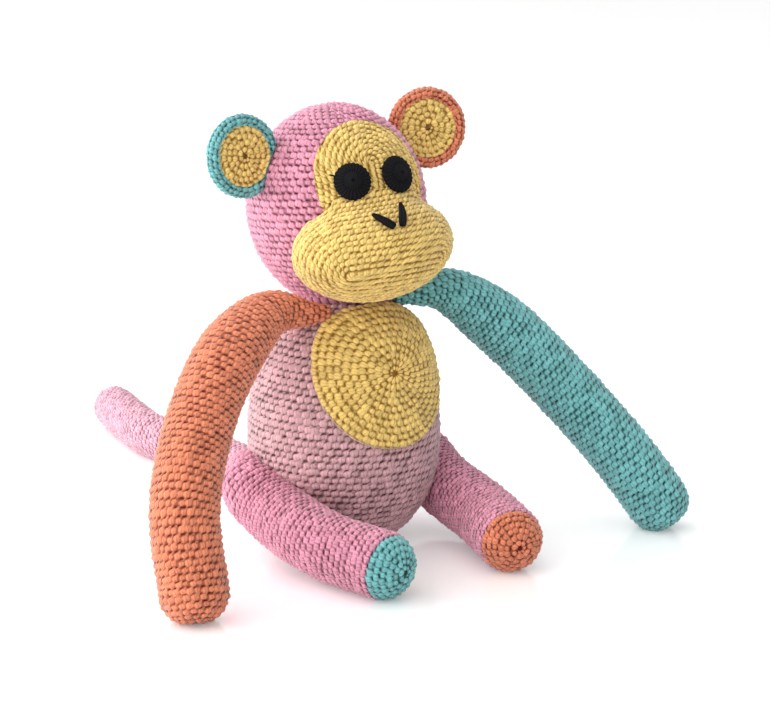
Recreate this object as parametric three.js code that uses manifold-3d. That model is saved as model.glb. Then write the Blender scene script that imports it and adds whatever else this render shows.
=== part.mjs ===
// A crocheted toy monkey that sits on the floor with its hands on the ground.
// Millimetres, +Z up, facing -Y. The origin is on the floor, under the middle of the seat.
// "Left" and "right" are the monkey's own sides: its left is +X.
import * as THREE from 'three';
import { mergeVertices } from 'three/addons/utils/BufferGeometryUtils.js';
import Module from 'manifold-3d';

const wasm = await Module();
wasm.setup();

// Fabric and clearances
const GAP = 0.3; // room between two pieces that are sewn or stuffed together
const FABRIC = 3.2; // thickness of the crocheted fabric
const LOFT = 0.8; // room that the stuffing of a bent limb keeps inside its cover
const FLAT = 0.5; // how deep a stuffed form is pressed flat where it lies on the floor

// Body: a round seat, a wide belly and round shoulders that are part of a ball
const SEAT_RADIUS = 12;
const BELLY_RADIUS = 50;
const BELLY_HEIGHT = 55;
const SHOULDER_RADIUS = 44.5;
const SHOULDER_HEIGHT = 89; // centre of the shoulder ball above the floor
const SHOULDER_ANGLE = 70; // how far the ball shape reaches down from the top, in degrees
const NECK_OPENING = 16; // radius of the hole under the head
const PATCH_HALF_WIDTH = 36.8;
const PATCH_HALF_HEIGHT = 32;
const PATCH_HEIGHT = SHOULDER_HEIGHT + 4.5; // middle of the belly patch above the floor

// Head: an egg whose lower end sits in the shoulders
const HEAD_RADIUS = 46;
const HEAD_HALF_HEIGHT = 51.5;
const HEAD_SINK = 10; // how far the head's lower end reaches into the shoulder ball
const HEAD_LEAN = 4; // degrees backwards
const FACE_TURN = -6.3; // degrees towards the monkey's right
const FACE_ROLL = -4; // degrees, left side up
const SEAM_RADIUS = 2.2; // of the roll of yarn that sews head to body

// Face, measured from the middle of the head: x to its left, y backwards, z up
const MUZZLE = new THREE.Vector3(-2, -40.5, -18.7);
const MUZZLE_RADII = new THREE.Vector3(42.5, 29, 26);
const BROW_HEIGHT = 14; // middle of the flat part of the face
const BROW_RADII = new THREE.Vector2(29, 30.5);
const EYE_RADIUS = 10;
const EYE_THICKNESS = 2.6;
const EYE_SPREAD = 11.4;
const EYE_HEIGHT = 15.3;
const NOSTRIL_RADIUS = 1.5;
const NOSTRIL_EMBED = 0.5; // how deep the thread lies in the muzzle
const NOSTRIL_ENDS = {
  right: [new THREE.Vector2(-10.4, 0.1), new THREE.Vector2(-2.5, -6.5)],
  left: [new THREE.Vector2(8, 3), new THREE.Vector2(2.3, -6.2)],
};

// Ears: a cup with a rolled rim and a disc sewn into it
const EAR_RADIUS = 21.2;
const EAR_RIM = 4.2; // radius of the rolled rim
const EAR_BACK = 3.5; // depth of the back behind the rim's middle
const EAR_DISC_RADIUS = 14.8;
const EAR_DISC_THICKNESS = 2.2;
const EAR_CUP_FLOOR = 0.2;
const EAR_STANDOFF = 6; // from the head's widest part out to the middle of an ear
const EAR_SPREAD = HEAD_RADIUS + EAR_STANDOFF;
const EAR_FORWARD = 8;
const EAR_HEIGHT = 32.5;
const EAR_TOE_IN = 10; // degrees
const EAR_FOLD = 20; // degrees each way
const EAR_FOLD_INSET = 15.5; // from the middle of the ear to its fold line
const EAR_FOLD_SLANT = 35; // the fold line follows the slope of the head, in degrees

// Limbs: stuffed tubes with a pinched root and a round end
const ARM_RADIUS = 16.7;
const ARM_ROOT_RADIUS = 4.9;
const ARM_TAPER = 30;
const ARM_STUB = 20; // the arm leaves the body sideways for this far
const ARM_STANDOFF = 3.9; // from the shoulder ball to the middle of the arm's root
const ARM_DIRECTION = new THREE.Vector3(29.2, -20, 33); // from the middle of the shoulder ball
const HAND_RIGHT_ASIDE = 130;
const HAND_RIGHT_FORWARD = 71.5;
const HAND_LEFT_ASIDE = 145;
const HAND_LEFT_FORWARD = 79;
const LEG_RADIUS = 16.8;
const LEG_ROOT_RADIUS = 6;
const LEG_TAPER = 27;
const HIP_JOINT = new THREE.Vector3(45, 21.5, 37);
const LEG_SWING = 35; // degrees up and out
const LEG_SWING_SLANT = 0.8; // how much of the swing goes outwards
const TOE_ASIDE = 38.5;
const TOE_FORWARD = 93;
const LEG_BOW = 7; // how far the leg bows outwards
const TOE_CAP_LENGTH = 9;
const TAIL_RADIUS = 12.8;
const TAIL_ROOT_RADIUS = 6;
const TAIL_TAPER = 24;
const TAIL_JOINT = new THREE.Vector3(0, BELLY_RADIUS - 6.4, 22);
const TAIL_TIP_ASIDE = 5;
const TAIL_TIP_BACK = 268;
const TAIL_SWAY = 11.4; // how far the tail curves to the right
const TAIL_WAG = 35; // degrees each way

// How finely the round forms are divided
const ROUND_SIDES = 20;
const LIMB_SIDES = 10;
const LIMB_STEP = 18;
const END_STEPS = 4;

// Yarn colours
const PINK = 0xd56f9d;
const MAUVE = 0xb98a9c;
const YELLOW = 0xe3b95a;
const ORANGE = 0xe0714f;
const TEAL = 0x52aaa5;
const PALE_PINK = 0xf0b9cd;
const BLACK = 0x1c1b1f;
const FIBREFILL = 0xf4f2ee;

const SHOULDER_JOINT = ARM_DIRECTION.clone().setLength(SHOULDER_RADIUS + ARM_STANDOFF)
  .add(new THREE.Vector3(0, 0, SHOULDER_HEIGHT));
const UP = new THREE.Vector3(0, 0, 1);
const BACK = new THREE.Vector3(0, 1, 0);
const rad = THREE.MathUtils.degToRad;
const at = (x, y, z) => new THREE.Matrix4().makeTranslation(x, y, z);
const flat = (x, y) => new THREE.Vector2(x, y);
const facet = (radius) => radius * (1 - Math.cos(Math.PI / ROUND_SIDES)); // depth of a flat on a round form

// Turns a closed geometry into a solid that can be cut, placed by a matrix
function solid(geometry, matrix = new THREE.Matrix4()) {
  const bare = geometry.clone().applyMatrix4(matrix);
  bare.deleteAttribute('normal');
  bare.deleteAttribute('uv');
  const merged = mergeVertices(bare, 1e-4);
  const index = merged.index.array;
  const triangles = [];
  for (let i = 0; i < index.length; i += 3) {
    const [a, b, c] = index.slice(i, i + 3);
    if (a !== b && b !== c && c !== a) triangles.push(a, b, c);
  }
  const vertProperties = new Float32Array(merged.attributes.position.array);
  const triVerts = new Uint32Array(triangles);
  return new wasm.Manifold(new wasm.Mesh({ numProp: 3, vertProperties, triVerts }));
}

// Adds a finished solid to a group as a named mesh of one yarn
function piece(group, name, shape, color) {
  const cut = shape.getMesh();
  const geometry = new THREE.BufferGeometry();
  geometry.setAttribute('position', new THREE.BufferAttribute(cut.vertProperties, 3));
  geometry.setIndex(new THREE.BufferAttribute(cut.triVerts, 1));
  geometry.computeVertexNormals();
  const material = new THREE.MeshStandardMaterial({ color, roughness: 0.9, metalness: 0 });
  const mesh = new THREE.Mesh(geometry, material);
  mesh.name = name;
  group.add(mesh);
}

// A solid of revolution about Z, from points (radius, height) that start and end on the axis
function turned(profile, sides = ROUND_SIDES) {
  return new THREE.LatheGeometry(profile, sides).rotateX(Math.PI / 2);
}

// A round bar along Y, centred on the origin
function bar(radius, length, sides = ROUND_SIDES) {
  return new THREE.CylinderGeometry(radius, radius, length, sides);
}

function ellipsoid(radii, grow) {
  const ball = new THREE.SphereGeometry(1, ROUND_SIDES, ROUND_SIDES / 2 + 1).rotateX(Math.PI / 2);
  return ball.scale(radii.x + grow, radii.y + grow, radii.z + grow);
}

// Moves every point of a profile outwards by the same distance
function offset(profile, distance) {
  return profile.map((point, i) => {
    const before = profile[Math.max(i - 1, 0)];
    const after = profile[Math.min(i + 1, profile.length - 1)];
    const along = after.clone().sub(before).normalize();
    const onAxis = point.x < 1e-6;
    const radius = onAxis ? 0 : point.x + along.y * distance;
    const lift = onAxis ? Math.sign(i - 0.5) : -along.x;
    return flat(Math.max(radius, 0), point.y + lift * distance);
  });
}

// Body

// The body's side from the seat to the top of the shoulders, as points (radius, height)
function bodySide() {
  const side = [flat(0, 0)];
  const underSteps = 5;
  for (let i = 0; i < underSteps; i++) {
    const turn = rad((90 * i) / underSteps);
    const radius = SEAT_RADIUS + (BELLY_RADIUS - SEAT_RADIUS) * Math.sin(turn);
    side.push(flat(radius, BELLY_HEIGHT * (1 - Math.cos(turn))));
  }
  const edge = rad(SHOULDER_ANGLE);
  const onBall = (turn) =>
    flat(SHOULDER_RADIUS * Math.sin(turn), SHOULDER_HEIGHT + SHOULDER_RADIUS * Math.cos(turn));
  const join = onBall(edge);
  const handle = (join.y - BELLY_HEIGHT) / 3;
  const slope = flat(Math.cos(edge), -Math.sin(edge)).multiplyScalar(handle);
  const flank = new THREE.CubicBezierCurve(
    flat(BELLY_RADIUS, BELLY_HEIGHT),
    flat(BELLY_RADIUS, BELLY_HEIGHT + handle),
    join.clone().add(slope),
    join,
  );
  side.push(...flank.getPoints(3));
  const ballSteps = 5;
  for (let i = 1; i < ballSteps; i++) side.push(onBall(edge * (1 - i / ballSteps)));
  side.push(flat(0, SHOULDER_HEIGHT + SHOULDER_RADIUS));
  return side;
}

const BODY_SIDE = bodySide();
const bodyForm = (grow, matrix) => solid(turned(offset(BODY_SIDE, grow)), matrix);

function addBody(toy) {
  const neckHole = solid(bar(NECK_OPENING, SHOULDER_RADIUS).rotateX(Math.PI / 2),
    at(0, 0, SHOULDER_HEIGHT + SHOULDER_RADIUS));
  const inside = bodyForm(-FABRIC);
  piece(toy, 'body_cover', bodyForm(0).subtract(inside).subtract(neckHole), MAUVE);
  piece(toy, 'body_stuffing', bodyForm(-FABRIC - GAP), FIBREFILL);
  const outline = bar(1, BELLY_RADIUS * 2, ROUND_SIDES * 1.5).scale(PATCH_HALF_WIDTH, 1, PATCH_HALF_HEIGHT);
  const front = solid(outline, at(0, -BELLY_RADIUS, PATCH_HEIGHT));
  const patch = bodyForm(GAP + FABRIC).subtract(bodyForm(GAP)).intersect(front);
  piece(toy, 'belly_patch', patch, YELLOW);
}

// Head: its group sits in the middle of the head, with Z along the line from the shoulder ball
const HEAD_RISE = SHOULDER_RADIUS + HEAD_HALF_HEIGHT - HEAD_SINK;
const HEAD_RADII = new THREE.Vector3(HEAD_RADIUS, HEAD_RADIUS, HEAD_HALF_HEIGHT);
const headForm = (grow, matrix) => solid(ellipsoid(HEAD_RADII, grow), matrix);

// The shoulder ball as seen from the head
function shoulderBall(grow) {
  const radii = new THREE.Vector3().setScalar(SHOULDER_RADIUS);
  return solid(ellipsoid(radii, grow), at(0, 0, -HEAD_RISE));
}

// Where the head's egg crosses the shoulder ball, as (radius, height) in the head's frame
function neckLine() {
  const height = (turn) => SHOULDER_RADIUS * Math.cos(turn) - HEAD_RISE;
  const radius = (turn) => SHOULDER_RADIUS * Math.sin(turn);
  const outside = (turn) =>
    Math.hypot(radius(turn) / HEAD_RADIUS, height(turn) / HEAD_HALF_HEIGHT) > 1;
  let low = 0;
  let high = Math.PI / 2;
  while (high - low > 1e-6) {
    const middle = (low + high) / 2;
    if (outside(middle)) high = middle;
    else low = middle;
  }
  return flat(radius(low), height(low));
}

function addHead(toy) {
  const lean = rad(HEAD_LEAN);
  const head = new THREE.Group();
  head.position.set(0, HEAD_RISE * Math.sin(lean), SHOULDER_HEIGHT + HEAD_RISE * Math.cos(lean));
  head.rotation.x = -lean;
  toy.add(head);
  const seat = shoulderBall(GAP + 2 * facet(SHOULDER_RADIUS)); // clears the shoulders however the head turns
  piece(head, 'head_cover', headForm(0).subtract(headForm(-FABRIC)).subtract(seat), PINK);
  piece(head, 'head_stuffing', headForm(-FABRIC - GAP).subtract(seat), FIBREFILL);
  const line = neckLine();
  const roll = solid(new THREE.TorusGeometry(line.x, SEAM_RADIUS, 8, ROUND_SIDES), at(0, 0, line.y));
  piece(head, 'neck_seam', roll.subtract(headForm(GAP)).subtract(seat), PINK);
  return head;
}

// Face: everything here is in the face's own frame, turned and rolled about the head's middle
function addFace(head) {
  const face = new THREE.Group();
  face.rotation.set(0, rad(FACE_ROLL), rad(FACE_TURN), 'ZYX');
  face.updateMatrix();
  head.add(face);
  const untwist = face.matrix.clone().invert();
  const skull = (grow) => headForm(grow, untwist);
  const muzzle = (grow) => solid(ellipsoid(MUZZLE_RADII, grow), at(...MUZZLE));

  const browBar = bar(1, HEAD_RADIUS * 2, ROUND_SIDES * 1.5).scale(BROW_RADII.x, 1, BROW_RADII.y);
  const brow = skull(GAP + FABRIC).intersect(solid(browBar, at(0, -HEAD_RADIUS, BROW_HEIGHT)));
  const skin = muzzle(0).add(brow).subtract(skull(GAP)).subtract(muzzle(-FABRIC));
  piece(face, 'face_cover', skin, YELLOW);
  const filling = muzzle(-FABRIC - GAP).subtract(skull(GAP));
  piece(face, 'muzzle_stuffing', filling, FIBREFILL);

  const eyeSeat = GAP + FABRIC + GAP;
  for (const [name, side] of [['eye_left', 1], ['eye_right', -1]]) {
    const drop = Math.hypot(EYE_SPREAD / HEAD_RADIUS, EYE_HEIGHT / HEAD_HALF_HEIGHT);
    const forward = HEAD_RADIUS * Math.sqrt(1 - drop * drop);
    const spot = new THREE.Vector3(side * EYE_SPREAD, -forward, EYE_HEIGHT);
    const facing = spot.clone().divide(HEAD_RADII).divide(HEAD_RADII).normalize();
    const aim = new THREE.Matrix4().makeRotationFromQuaternion(
      new THREE.Quaternion().setFromUnitVectors(BACK, facing)).setPosition(spot);
    const disc = solid(bar(EYE_RADIUS, HEAD_RADIUS), aim);
    const layer = skull(eyeSeat + EYE_THICKNESS).subtract(skull(eyeSeat));
    piece(face, name, layer.intersect(disc).subtract(muzzle(GAP)), BLACK);
  }
  for (const [side, ends] of Object.entries(NOSTRIL_ENDS)) addNostril(face, side, ends, muzzle(GAP));
  for (const side of [1, -1]) addEar(face, side, untwist);
}

// A bar of black thread sewn over the muzzle between two points (x, z) of its front
function addNostril(face, side, ends, muzzle) {
  const [start, end] = ends.map((point) => {
    const across = (point.x - MUZZLE.x) / MUZZLE_RADII.x;
    const above = (point.y - MUZZLE.z) / MUZZLE_RADII.z;
    const forward = MUZZLE_RADII.y * Math.sqrt(1 - across * across - above * above);
    const onMuzzle = new THREE.Vector3(point.x, MUZZLE.y - forward, point.y);
    const outwards = onMuzzle.clone().sub(MUZZLE).divide(MUZZLE_RADII).divide(MUZZLE_RADII);
    return onMuzzle.addScaledVector(outwards.normalize(), NOSTRIL_RADIUS - NOSTRIL_EMBED);
  });
  const along = end.clone().sub(start);
  const thread = new THREE.CapsuleGeometry(NOSTRIL_RADIUS, along.length(), 3, 8);
  const place = new THREE.Matrix4().makeRotationFromQuaternion(
    new THREE.Quaternion().setFromUnitVectors(BACK, along.normalize()));
  place.setPosition(start.clone().add(end).multiplyScalar(0.5));
  piece(face, `nostril_${side}`, solid(thread, place).subtract(muzzle), BLACK);
}

// An ear's own frame has its middle at the origin and its open side towards -Y
function addEar(face, side, untwist) {
  const ear = new THREE.Group();
  ear.position.set(side * EAR_SPREAD, -EAR_FORWARD, EAR_HEIGHT);
  ear.rotation.z = side * rad(-EAR_TOE_IN);
  ear.updateMatrix();
  face.add(ear);

  const rimMiddle = EAR_RADIUS - EAR_RIM;
  const cup = [flat(0, -EAR_BACK), flat(rimMiddle - EAR_RIM, -EAR_BACK)];
  const rimSteps = 8;
  const mouth = Math.acos((EAR_DISC_RADIUS + GAP - rimMiddle) / EAR_RIM);
  for (let i = 0; i <= rimSteps; i++) {
    const turn = -Math.PI / 2 + ((mouth + Math.PI / 2) * i) / rimSteps;
    cup.push(flat(rimMiddle + EAR_RIM * Math.cos(turn), EAR_RIM * Math.sin(turn)));
  }
  cup.push(flat(EAR_DISC_RADIUS + GAP, EAR_CUP_FLOOR), flat(0, EAR_CUP_FLOOR));
  const discFloor = EAR_CUP_FLOOR + GAP;
  const disc = [
    flat(0, discFloor),
    flat(EAR_DISC_RADIUS, discFloor),
    flat(EAR_DISC_RADIUS, discFloor + EAR_DISC_THICKNESS / 2),
    flat(EAR_DISC_RADIUS - EAR_DISC_THICKNESS / 2, discFloor + EAR_DISC_THICKNESS),
    flat(0, discFloor + EAR_DISC_THICKNESS),
  ];
  const openForwards = new THREE.Matrix4().makeRotationX(Math.PI / 2);
  const toHead = ear.matrix.clone().invert().multiply(untwist);
  const foldAt = new THREE.Vector3(-side * EAR_FOLD_INSET, 0, 0);
  const slant = rad(EAR_FOLD_SLANT);
  const foldLine = new THREE.Vector3(-side * Math.sin(slant), 0, Math.cos(slant));
  const skull = sweep((place) => headForm(GAP + facet(HEAD_RADIUS), place), toHead, foldAt, foldLine,
    [-EAR_FOLD, 0, EAR_FOLD]);
  const name = side > 0 ? 'ear_left' : 'ear_right';
  piece(ear, `${name}_back`, solid(turned(cup), openForwards).subtract(skull), side > 0 ? ORANGE : TEAL);
  piece(ear, `${name}_inner`, solid(turned(disc), openForwards).subtract(skull), YELLOW);
}

// The space that a neighbour takes up, seen from a piece that turns about a line by these angles
function sweep(form, matrix, origin, axis, angles) {
  const shapes = angles.map((angle) => {
    const swing = at(...origin)
      .multiply(new THREE.Matrix4().makeRotationAxis(axis.clone().normalize(), rad(-angle)))
      .multiply(at(-origin.x, -origin.y, -origin.z));
    return form(swing.multiply(matrix));
  });
  return shapes.reduce((whole, shape) => whole.add(shape));
}

// Limbs

// A limb's radius against the distance from its root, drawn in by some thickness
function limbSide(limb, inset) {
  const { length, radius, rootRadius, taper } = limb;
  const side = [];
  const rootSteps = 3;
  for (let i = 0; i < rootSteps; i++) {
    const share = i / rootSteps;
    const swell = Math.sin((share * Math.PI) / 2);
    side.push(flat(rootRadius + (radius - rootRadius) * swell - inset, taper * share));
  }
  const straight = length - radius - taper;
  const steps = Math.ceil(straight / LIMB_STEP);
  for (let i = 0; i < steps; i++) side.push(flat(radius - inset, taper + (straight * i) / steps));
  const blunt = 0.8; // below 1 the end is squarer than a half ball
  for (let i = 0; i <= END_STEPS; i++) {
    const turn = (i / END_STEPS) * (Math.PI / 2);
    const reach = (radius - inset) * Math.sin(turn) ** blunt;
    const width = (radius - inset) * Math.cos(turn) ** blunt;
    side.push(flat(i === END_STEPS ? 0 : width, length - radius + reach));
  }
  return side;
}

// Bends a straight turned form along the limb's curve
function bend(profile, limb) {
  const geometry = new THREE.LatheGeometry(profile, LIMB_SIDES);
  const spots = geometry.attributes.position;
  const spot = new THREE.Vector3();
  for (let i = 0; i < spots.count; i++) {
    spot.fromBufferAttribute(spots, i);
    const share = THREE.MathUtils.clamp(spot.y / limb.length, 0, 1);
    const along = limb.curve.getTangentAt(share);
    const across = limb.across.clone().cross(along).normalize();
    const third = across.clone().cross(along);
    const middle = limb.curve.getPointAt(share);
    middle.addScaledVector(across, spot.x).addScaledVector(third, spot.z);
    spots.setXYZ(i, ...middle);
  }
  return solid(geometry);
}

// Lays out a limb from points in the toy's frame, the first at its joint and the last in its round end
function layLimb(points, sizes) {
  const joint = points[0];
  const route = points.map((point) => point.clone().sub(joint));
  const last = route[route.length - 1];
  const tip = last.clone().sub(route[route.length - 2]).setLength(sizes.radius).add(last);
  const curve = new THREE.CatmullRomCurve3([...route, tip]);
  curve.arcLengthDivisions = 400;
  return { ...sizes, joint, curve, length: curve.getLength() };
}

// Cover and stuffing of a limb, cut by the floor and by what it is sewn to
function stuffLimb(limb, neighbour) {
  const tube = (inset) => bend([flat(0, 0), ...limbSide(limb, inset)], limb);
  const reach = limb.length * 4;
  const below = solid(new THREE.BoxGeometry(reach, reach, reach), at(0, 0, -limb.joint.z - reach / 2));
  const cut = (shape) => shape.subtract(below).subtract(neighbour);
  return {
    cover: cut(tube(0).subtract(tube(FABRIC))),
    stuffing: cut(tube(FABRIC + LOFT)),
  };
}

function limbGroup(toy, limb) {
  const group = new THREE.Group();
  group.position.copy(limb.joint);
  toy.add(group);
  return group;
}

const fromJoint = (limb) => at(-limb.joint.x, -limb.joint.y, -limb.joint.z);
const lying = (radius) => radius - FLAT; // height of the middle of a tube that lies on the floor

// A point on the way from one place to another, with its own share of the way along x, y and z
function partWay(from, to, x, y, z) {
  const { lerp } = THREE.MathUtils;
  return new THREE.Vector3(lerp(from.x, to.x, x), lerp(from.y, to.y, y), lerp(from.z, to.z, z));
}

function addArm(toy, name, color, points) {
  const limb = layLimb(points, {
    radius: ARM_RADIUS, rootRadius: ARM_ROOT_RADIUS, taper: ARM_TAPER, across: BACK,
  });
  const { cover, stuffing } = stuffLimb(limb, bodyForm(GAP, fromJoint(limb)));
  const group = limbGroup(toy, limb);
  piece(group, `${name}_cover`, cover, color);
  piece(group, `${name}_stuffing`, stuffing, FIBREFILL);
}

function addArms(toy) {
  const { x, y, z } = SHOULDER_JOINT;
  const low = lying(ARM_RADIUS);
  const straight = new THREE.Vector3(ARM_STUB, 0, -0.5);

  const rightRoot = new THREE.Vector3(-x, y, z);
  const rightHand = new THREE.Vector3(-HAND_RIGHT_ASIDE, -HAND_RIGHT_FORWARD, low);
  addArm(toy, 'arm_right', ORANGE, [
    rightRoot,
    rightRoot.clone().add(straight.clone().multiply(new THREE.Vector3(-1, 1, 1))),
    partWay(rightRoot, rightHand, 0.524, 0.117, 0.132),
    partWay(rightRoot, rightHand, 0.792, 0.408, 0.378),
    partWay(rightRoot, rightHand, 0.97, 0.757, 0.69),
    rightHand,
  ]);

  const leftRoot = new THREE.Vector3(x, y, z);
  const leftHand = new THREE.Vector3(HAND_LEFT_ASIDE, -HAND_LEFT_FORWARD, low);
  addArm(toy, 'arm_left', TEAL, [
    leftRoot,
    leftRoot.clone().add(straight),
    partWay(leftRoot, leftHand, 0.421, 0.136, 0.151),
    partWay(leftRoot, leftHand, 0.698, 0.475, 0.473),
    partWay(leftRoot, leftHand, 0.905, 0.831, 0.813),
    leftHand,
  ]);
}

function addLeg(toy, name, side, toeColor) {
  const low = lying(LEG_RADIUS);
  const root = new THREE.Vector3(side * HIP_JOINT.x, HIP_JOINT.y, HIP_JOINT.z);
  const toe = new THREE.Vector3(side * TOE_ASIDE, -TOE_FORWARD, low);
  const limb = layLimb([
    root,
    partWay(root, toe, 0, 0.118, 0.469).add(new THREE.Vector3(side * LEG_BOW, 0, 0)),
    partWay(root, toe, 0.154, 0.31, 0.952).add(new THREE.Vector3(side * LEG_BOW, 0, 0)),
    partWay(root, toe, 0.615, 0.686, 1).add(new THREE.Vector3(side * LEG_BOW, 0, 0)),
    toe,
  ], { radius: LEG_RADIUS, rootRadius: LEG_ROOT_RADIUS, taper: LEG_TAPER, across: UP });
  const hinge = new THREE.Vector3(-1, 0, side * LEG_SWING_SLANT);
  const belly = sweep((place) => bodyForm(GAP + facet(BELLY_RADIUS), place), fromJoint(limb),
    new THREE.Vector3(), hinge, [0, LEG_SWING / 2, LEG_SWING]);
  const { cover, stuffing } = stuffLimb(limb, belly);
  const group = limbGroup(toy, limb);

  // The toe cap is the end of the cover, worked in another colour
  const along = limb.curve.getTangentAt(1);
  const cutAt = limb.curve.getPointAt(1 - TOE_CAP_LENGTH / limb.length);
  const half = LEG_RADIUS * 2;
  const ahead = (gap) => solid(
    new THREE.BoxGeometry(half * 2, half * 2, half * 2),
    new THREE.Matrix4()
      .makeRotationFromQuaternion(new THREE.Quaternion().setFromUnitVectors(BACK, along))
      .setPosition(cutAt.clone().addScaledVector(along, half + gap)),
  );
  piece(group, `${name}_cover`, cover.subtract(ahead(-GAP / 2)), PINK);
  piece(group, `${name}_toe_cap`, cover.intersect(ahead(GAP / 2)), toeColor);
  piece(group, `${name}_stuffing`, stuffing, FIBREFILL);
}

function addTail(toy) {
  const low = lying(TAIL_RADIUS);
  const tip = new THREE.Vector3(TAIL_TIP_ASIDE, TAIL_TIP_BACK, low);
  const sway = (share, sideways) =>
    partWay(TAIL_JOINT, tip, share, share, 1).add(new THREE.Vector3(sideways, 0, 0));
  const limb = layLimb([
    TAIL_JOINT,
    partWay(TAIL_JOINT, tip, 0, 0.102, 0.69),
    sway(0.216, 0),
    sway(0.407, -TAIL_SWAY / 6),
    sway(0.675, -TAIL_SWAY),
    sway(0.866, -TAIL_SWAY / 2),
    tip,
  ], { radius: TAIL_RADIUS, rootRadius: TAIL_ROOT_RADIUS, taper: TAIL_TAPER, across: UP });
  const seat = sweep((place) => bodyForm(GAP, place), fromJoint(limb),
    new THREE.Vector3(), UP, [-TAIL_WAG, -TAIL_WAG / 2, 0, TAIL_WAG / 2, TAIL_WAG]);
  const { cover, stuffing } = stuffLimb(limb, seat);
  const group = limbGroup(toy, limb);
  piece(group, 'tail_cover', cover, PALE_PINK);
  piece(group, 'tail_stuffing', stuffing, FIBREFILL);
}

const monkey = new THREE.Group();
addBody(monkey);
addFace(addHead(monkey));
addArms(monkey);
addLeg(monkey, 'leg_left', 1, ORANGE);
addLeg(monkey, 'leg_right', -1, TEAL);
addTail(monkey);

export default monkey;
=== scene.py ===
"""Dresses the crochet monkey in its yarn.

Every cover is a skin worked in rounds, as the real one is: a grid is rolled into the piece's shape, and the
stitches of each round stand out of it. Lengths are in metres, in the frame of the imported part: +Z up, the toy
faces -Y.
"""

import math

import bmesh
import bpy
import numpy as np
from mathutils import Matrix, Vector


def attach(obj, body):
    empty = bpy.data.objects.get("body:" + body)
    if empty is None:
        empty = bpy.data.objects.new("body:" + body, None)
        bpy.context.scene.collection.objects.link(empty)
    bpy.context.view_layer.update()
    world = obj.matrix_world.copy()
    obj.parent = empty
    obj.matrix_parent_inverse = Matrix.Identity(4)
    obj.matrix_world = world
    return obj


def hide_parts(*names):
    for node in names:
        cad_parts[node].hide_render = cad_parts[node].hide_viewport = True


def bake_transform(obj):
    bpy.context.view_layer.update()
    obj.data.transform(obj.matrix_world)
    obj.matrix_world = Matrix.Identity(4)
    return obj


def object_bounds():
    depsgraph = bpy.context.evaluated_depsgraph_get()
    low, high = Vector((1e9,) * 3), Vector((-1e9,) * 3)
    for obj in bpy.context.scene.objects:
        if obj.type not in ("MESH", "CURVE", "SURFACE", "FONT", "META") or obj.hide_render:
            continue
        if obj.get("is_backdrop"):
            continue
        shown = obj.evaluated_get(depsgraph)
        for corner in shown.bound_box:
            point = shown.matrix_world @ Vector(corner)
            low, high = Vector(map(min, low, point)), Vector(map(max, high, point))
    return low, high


bl_info = {
    "name": "Crochet monkey",
    "version": (1, 0, 0),
    "blender": (4, 5, 0),
    "location": "View3D > Sidebar > Monkey",
    "description": "Works the covers of a stuffed crochet monkey, stitch by stitch",
    "category": "Add Mesh",
}

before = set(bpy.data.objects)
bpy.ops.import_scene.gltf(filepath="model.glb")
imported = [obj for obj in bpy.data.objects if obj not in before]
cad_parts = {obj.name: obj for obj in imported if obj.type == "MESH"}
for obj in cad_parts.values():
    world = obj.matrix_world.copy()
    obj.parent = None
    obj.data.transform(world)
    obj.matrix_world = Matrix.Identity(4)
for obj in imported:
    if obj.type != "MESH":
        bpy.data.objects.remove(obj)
cad_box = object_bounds()

MM = 0.001
# Points closer than this are one point
TOUCHING = 1e-7
RIGHT, LEFT = -1, 1


def length(name, description, millimetres):
    """A length that a user may change."""
    return bpy.props.FloatProperty(
        name=name, description=description, default=millimetres * MM, unit="LENGTH", precision=4
    )


def angle(name, description, degrees):
    """An angle that a user may change."""
    return bpy.props.FloatProperty(
        name=name, description=description, default=math.radians(degrees), subtype="ANGLE"
    )


def share(name, description, part):
    """A share of something that a user may change."""
    return bpy.props.FloatProperty(name=name, description=description, default=part, min=0, max=2)


def colour(name, description, red, green, blue):
    """A yarn colour that a user may change."""
    return bpy.props.FloatVectorProperty(
        name=name, description=description, default=(red, green, blue), subtype="COLOR", min=0, max=1
    )


class MonkeyYarn(bpy.types.PropertyGroup):
    """How the yarn is worked."""

    stitch_width: length("Stitch width", "Width of one stitch along its round", 4.1)
    round_height: length("Round height", "Height of one round of stitches", 3.7)
    relief: length("Relief", "How far a stitch stands above the gaps beside it", 2.0)
    head_gauge: share("Head gauge", "Size of the head's stitches against the body's", 0.96)
    face_gauge: share("Face gauge", "Size of the face's stitches against the body's", 0.82)
    arm_gauge: share("Arm gauge", "Size of the arms' stitches against the body's", 0.94)
    leg_gauge: share("Leg gauge", "Size of the legs' stitches against the body's", 0.92)
    tail_gauge: share("Tail gauge", "Size of the tail's stitches against the body's", 0.90)
    patch_gauge: share("Patch gauge", "Size of the belly patch's stitches against the body's", 0.95)
    ear_gauge: share("Ear gauge", "Size of the ears' stitches against the body's", 0.88)
    proud: length("Proud", "How far the stitches stand out of the solid they cover", 0.5)
    detail_across: bpy.props.IntProperty(
        name="Detail across", description="Faces across one stitch", default=5, min=3, max=12
    )
    detail_up: bpy.props.IntProperty(
        name="Detail up", description="Faces up one stitch", default=6, min=3, max=12
    )


class MonkeyColours(bpy.types.PropertyGroup):
    """The yarns."""

    pink: colour("Pink", "Head and legs", 0.800, 0.340, 0.465)
    mauve: colour("Mauve", "Body", 0.735, 0.445, 0.472)
    yellow: colour("Yellow", "Face, belly patch and inner ears", 0.910, 0.650, 0.205)
    orange: colour("Orange", "Right arm, left ear and left toe", 0.790, 0.255, 0.138)
    teal: colour("Teal", "Left arm, right ear and right toe", 0.200, 0.530, 0.540)
    pale_pink: colour("Pale pink", "Tail", 0.840, 0.445, 0.550)
    black: colour("Black", "Eyes and nostrils", 0.006, 0.005, 0.008)


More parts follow.
